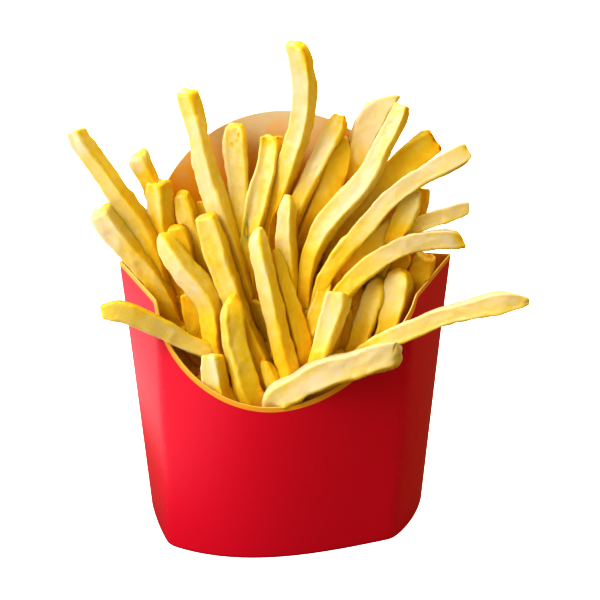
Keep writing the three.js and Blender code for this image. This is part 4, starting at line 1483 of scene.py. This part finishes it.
@dataclass
class Studio:
    """Camera, lights and the sheet under the carton."""

    eye: Triple = (-0.02890, -0.55153, 0.29444)
    target: Triple = (0.003675, 0.0, 0.07482)
    lens_mm: float = 114.66
    sensor_mm: float = 36.0
    clip_m: tuple[float, float] = (0.02, 30.0)
    look: str = "High Contrast"
    exposure: float = -0.7
    floor_m: float = 6.0
    wall_tint: Triple = (1.0, 0.88, 0.40)
    wall_mirrored: Triple = (0.07, 0.03, 0.025)
    wall_seen: Triple = (4.0, 4.0, 4.0)
    wall_light: float = 0.68
    card_m: tuple[float, float] = (0.3, 0.7)
    card_from: float = 0.08
    card_power: float = 1.0
    lamps_at: Triple = (0.0, 0.0, 0.07)
    lamps: tuple[Lamp, ...] = (
        Lamp("key", -66.0, 42.0, 1.3, 0.7, 15.5),
        Lamp("front", -40.0, 44.0, 1.3, 0.7, 5.0),
        Lamp("rim", 152.0, 50.0, 1.2, 0.8, 12.0, (1.0, 0.86, 0.4)),
        Lamp("side", 112.0, 22.0, 1.2, 0.5, 1.6, (1.0, 0.7, 0.45)),
    )

    def _put(self, name: str, data: Any, place: Vector, way: Vector) -> bpy.types.Object:
        """Adds a camera or a light at a place, and turns it to look along a way."""
        made = bpy.data.objects.new(name, data)
        bpy.context.scene.collection.objects.link(made)
        made.location = place
        made.rotation_euler = way.to_track_quat("-Z", "Y").to_euler()
        return made

    def camera(self) -> None:
        """Puts the camera at its eye, aimed at the target."""
        data = bpy.data.cameras.new("view")
        data.lens, data.sensor_width = self.lens_mm, self.sensor_mm
        data.clip_start, data.clip_end = self.clip_m
        eye = Vector(self.eye)
        bpy.context.scene.camera = self._put("view", data, eye, Vector(self.target) - eye)

    def light(self, lamp: Lamp) -> None:
        """Puts a lamp on a sphere round the food, aimed at its middle."""
        a, e = math.radians(lamp.azimuth), math.radians(lamp.elevation)
        level = math.cos(e)
        place = Vector((math.sin(a) * level, -math.cos(a) * level, math.sin(e))) * lamp.away
        data = bpy.data.lights.new(lamp.name, "AREA")
        data.shape, data.size = "SQUARE", lamp.size
        data.energy, data.color = lamp.power, lamp.tint
        self._put(lamp.name, data, place + Vector(self.lamps_at), -place)

    def card(self) -> None:
        """A bright sheet that lies at the left, for the glossy board to mirror."""
        data = bpy.data.lights.new("card", "AREA")
        data.shape, data.size, data.size_y = "RECTANGLE", *self.card_m
        data.energy = self.card_power
        made = bpy.data.objects.new("card", data)
        bpy.context.scene.collection.objects.link(made)
        made.location = (-self.card_from - self.card_m[0] / 2, 0.0, 0.002)
        made.rotation_euler = (math.pi, 0.0, 0.0)

    def surround(self) -> None:
        """Makes the world: warm light from all round, as off pale walls, that is seen as white."""
        sheet = Sheet(bpy.data.worlds.new("studio"), "Background")
        walls = sheet.blend(sheet.ray("Glossy"), self.wall_tint, self.wall_mirrored)
        seen = sheet.blend(sheet.ray("Camera"), walls, self.wall_seen)
        bpy.context.scene.world = sheet.finish(Color=seen, Strength=self.wall_light)

    def floor(self) -> None:
        """Lays the sheet under the carton."""
        half = self.floor_m / 2
        mesh = bpy.data.meshes.new("floor")
        corners = [(-half, -half, 0), (half, -half, 0), (half, half, 0), (-half, half, 0)]
        mesh.from_pydata(corners, [], [(0, 1, 2, 3)])
        mesh.materials.append(StudioPaper().material())
        floor = bpy.data.objects.new("floor", mesh)
        bpy.context.scene.collection.objects.link(floor)

    def build(self) -> None:
        """Makes the floor, the world, the lights and the camera."""
        self.floor()
        self.surround()
        for lamp in self.lamps:
            self.light(lamp)
        self.card()
        self.camera()
        settings = bpy.context.scene.view_settings
        settings.view_transform = "Standard"
        settings.look = self.look
        settings.exposure = self.exposure


def main() -> None:
    """Builds the carton, the fries and the studio."""
    logging.basicConfig(level=logging.INFO, format="%(name)s: %(message)s")
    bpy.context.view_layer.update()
    carton = Carton()
    carton.build(PrintedBoard().material())
    Heap(carton).build(FriedPotato().material())
    Studio().build()


if __name__ == "__main__":
    main()
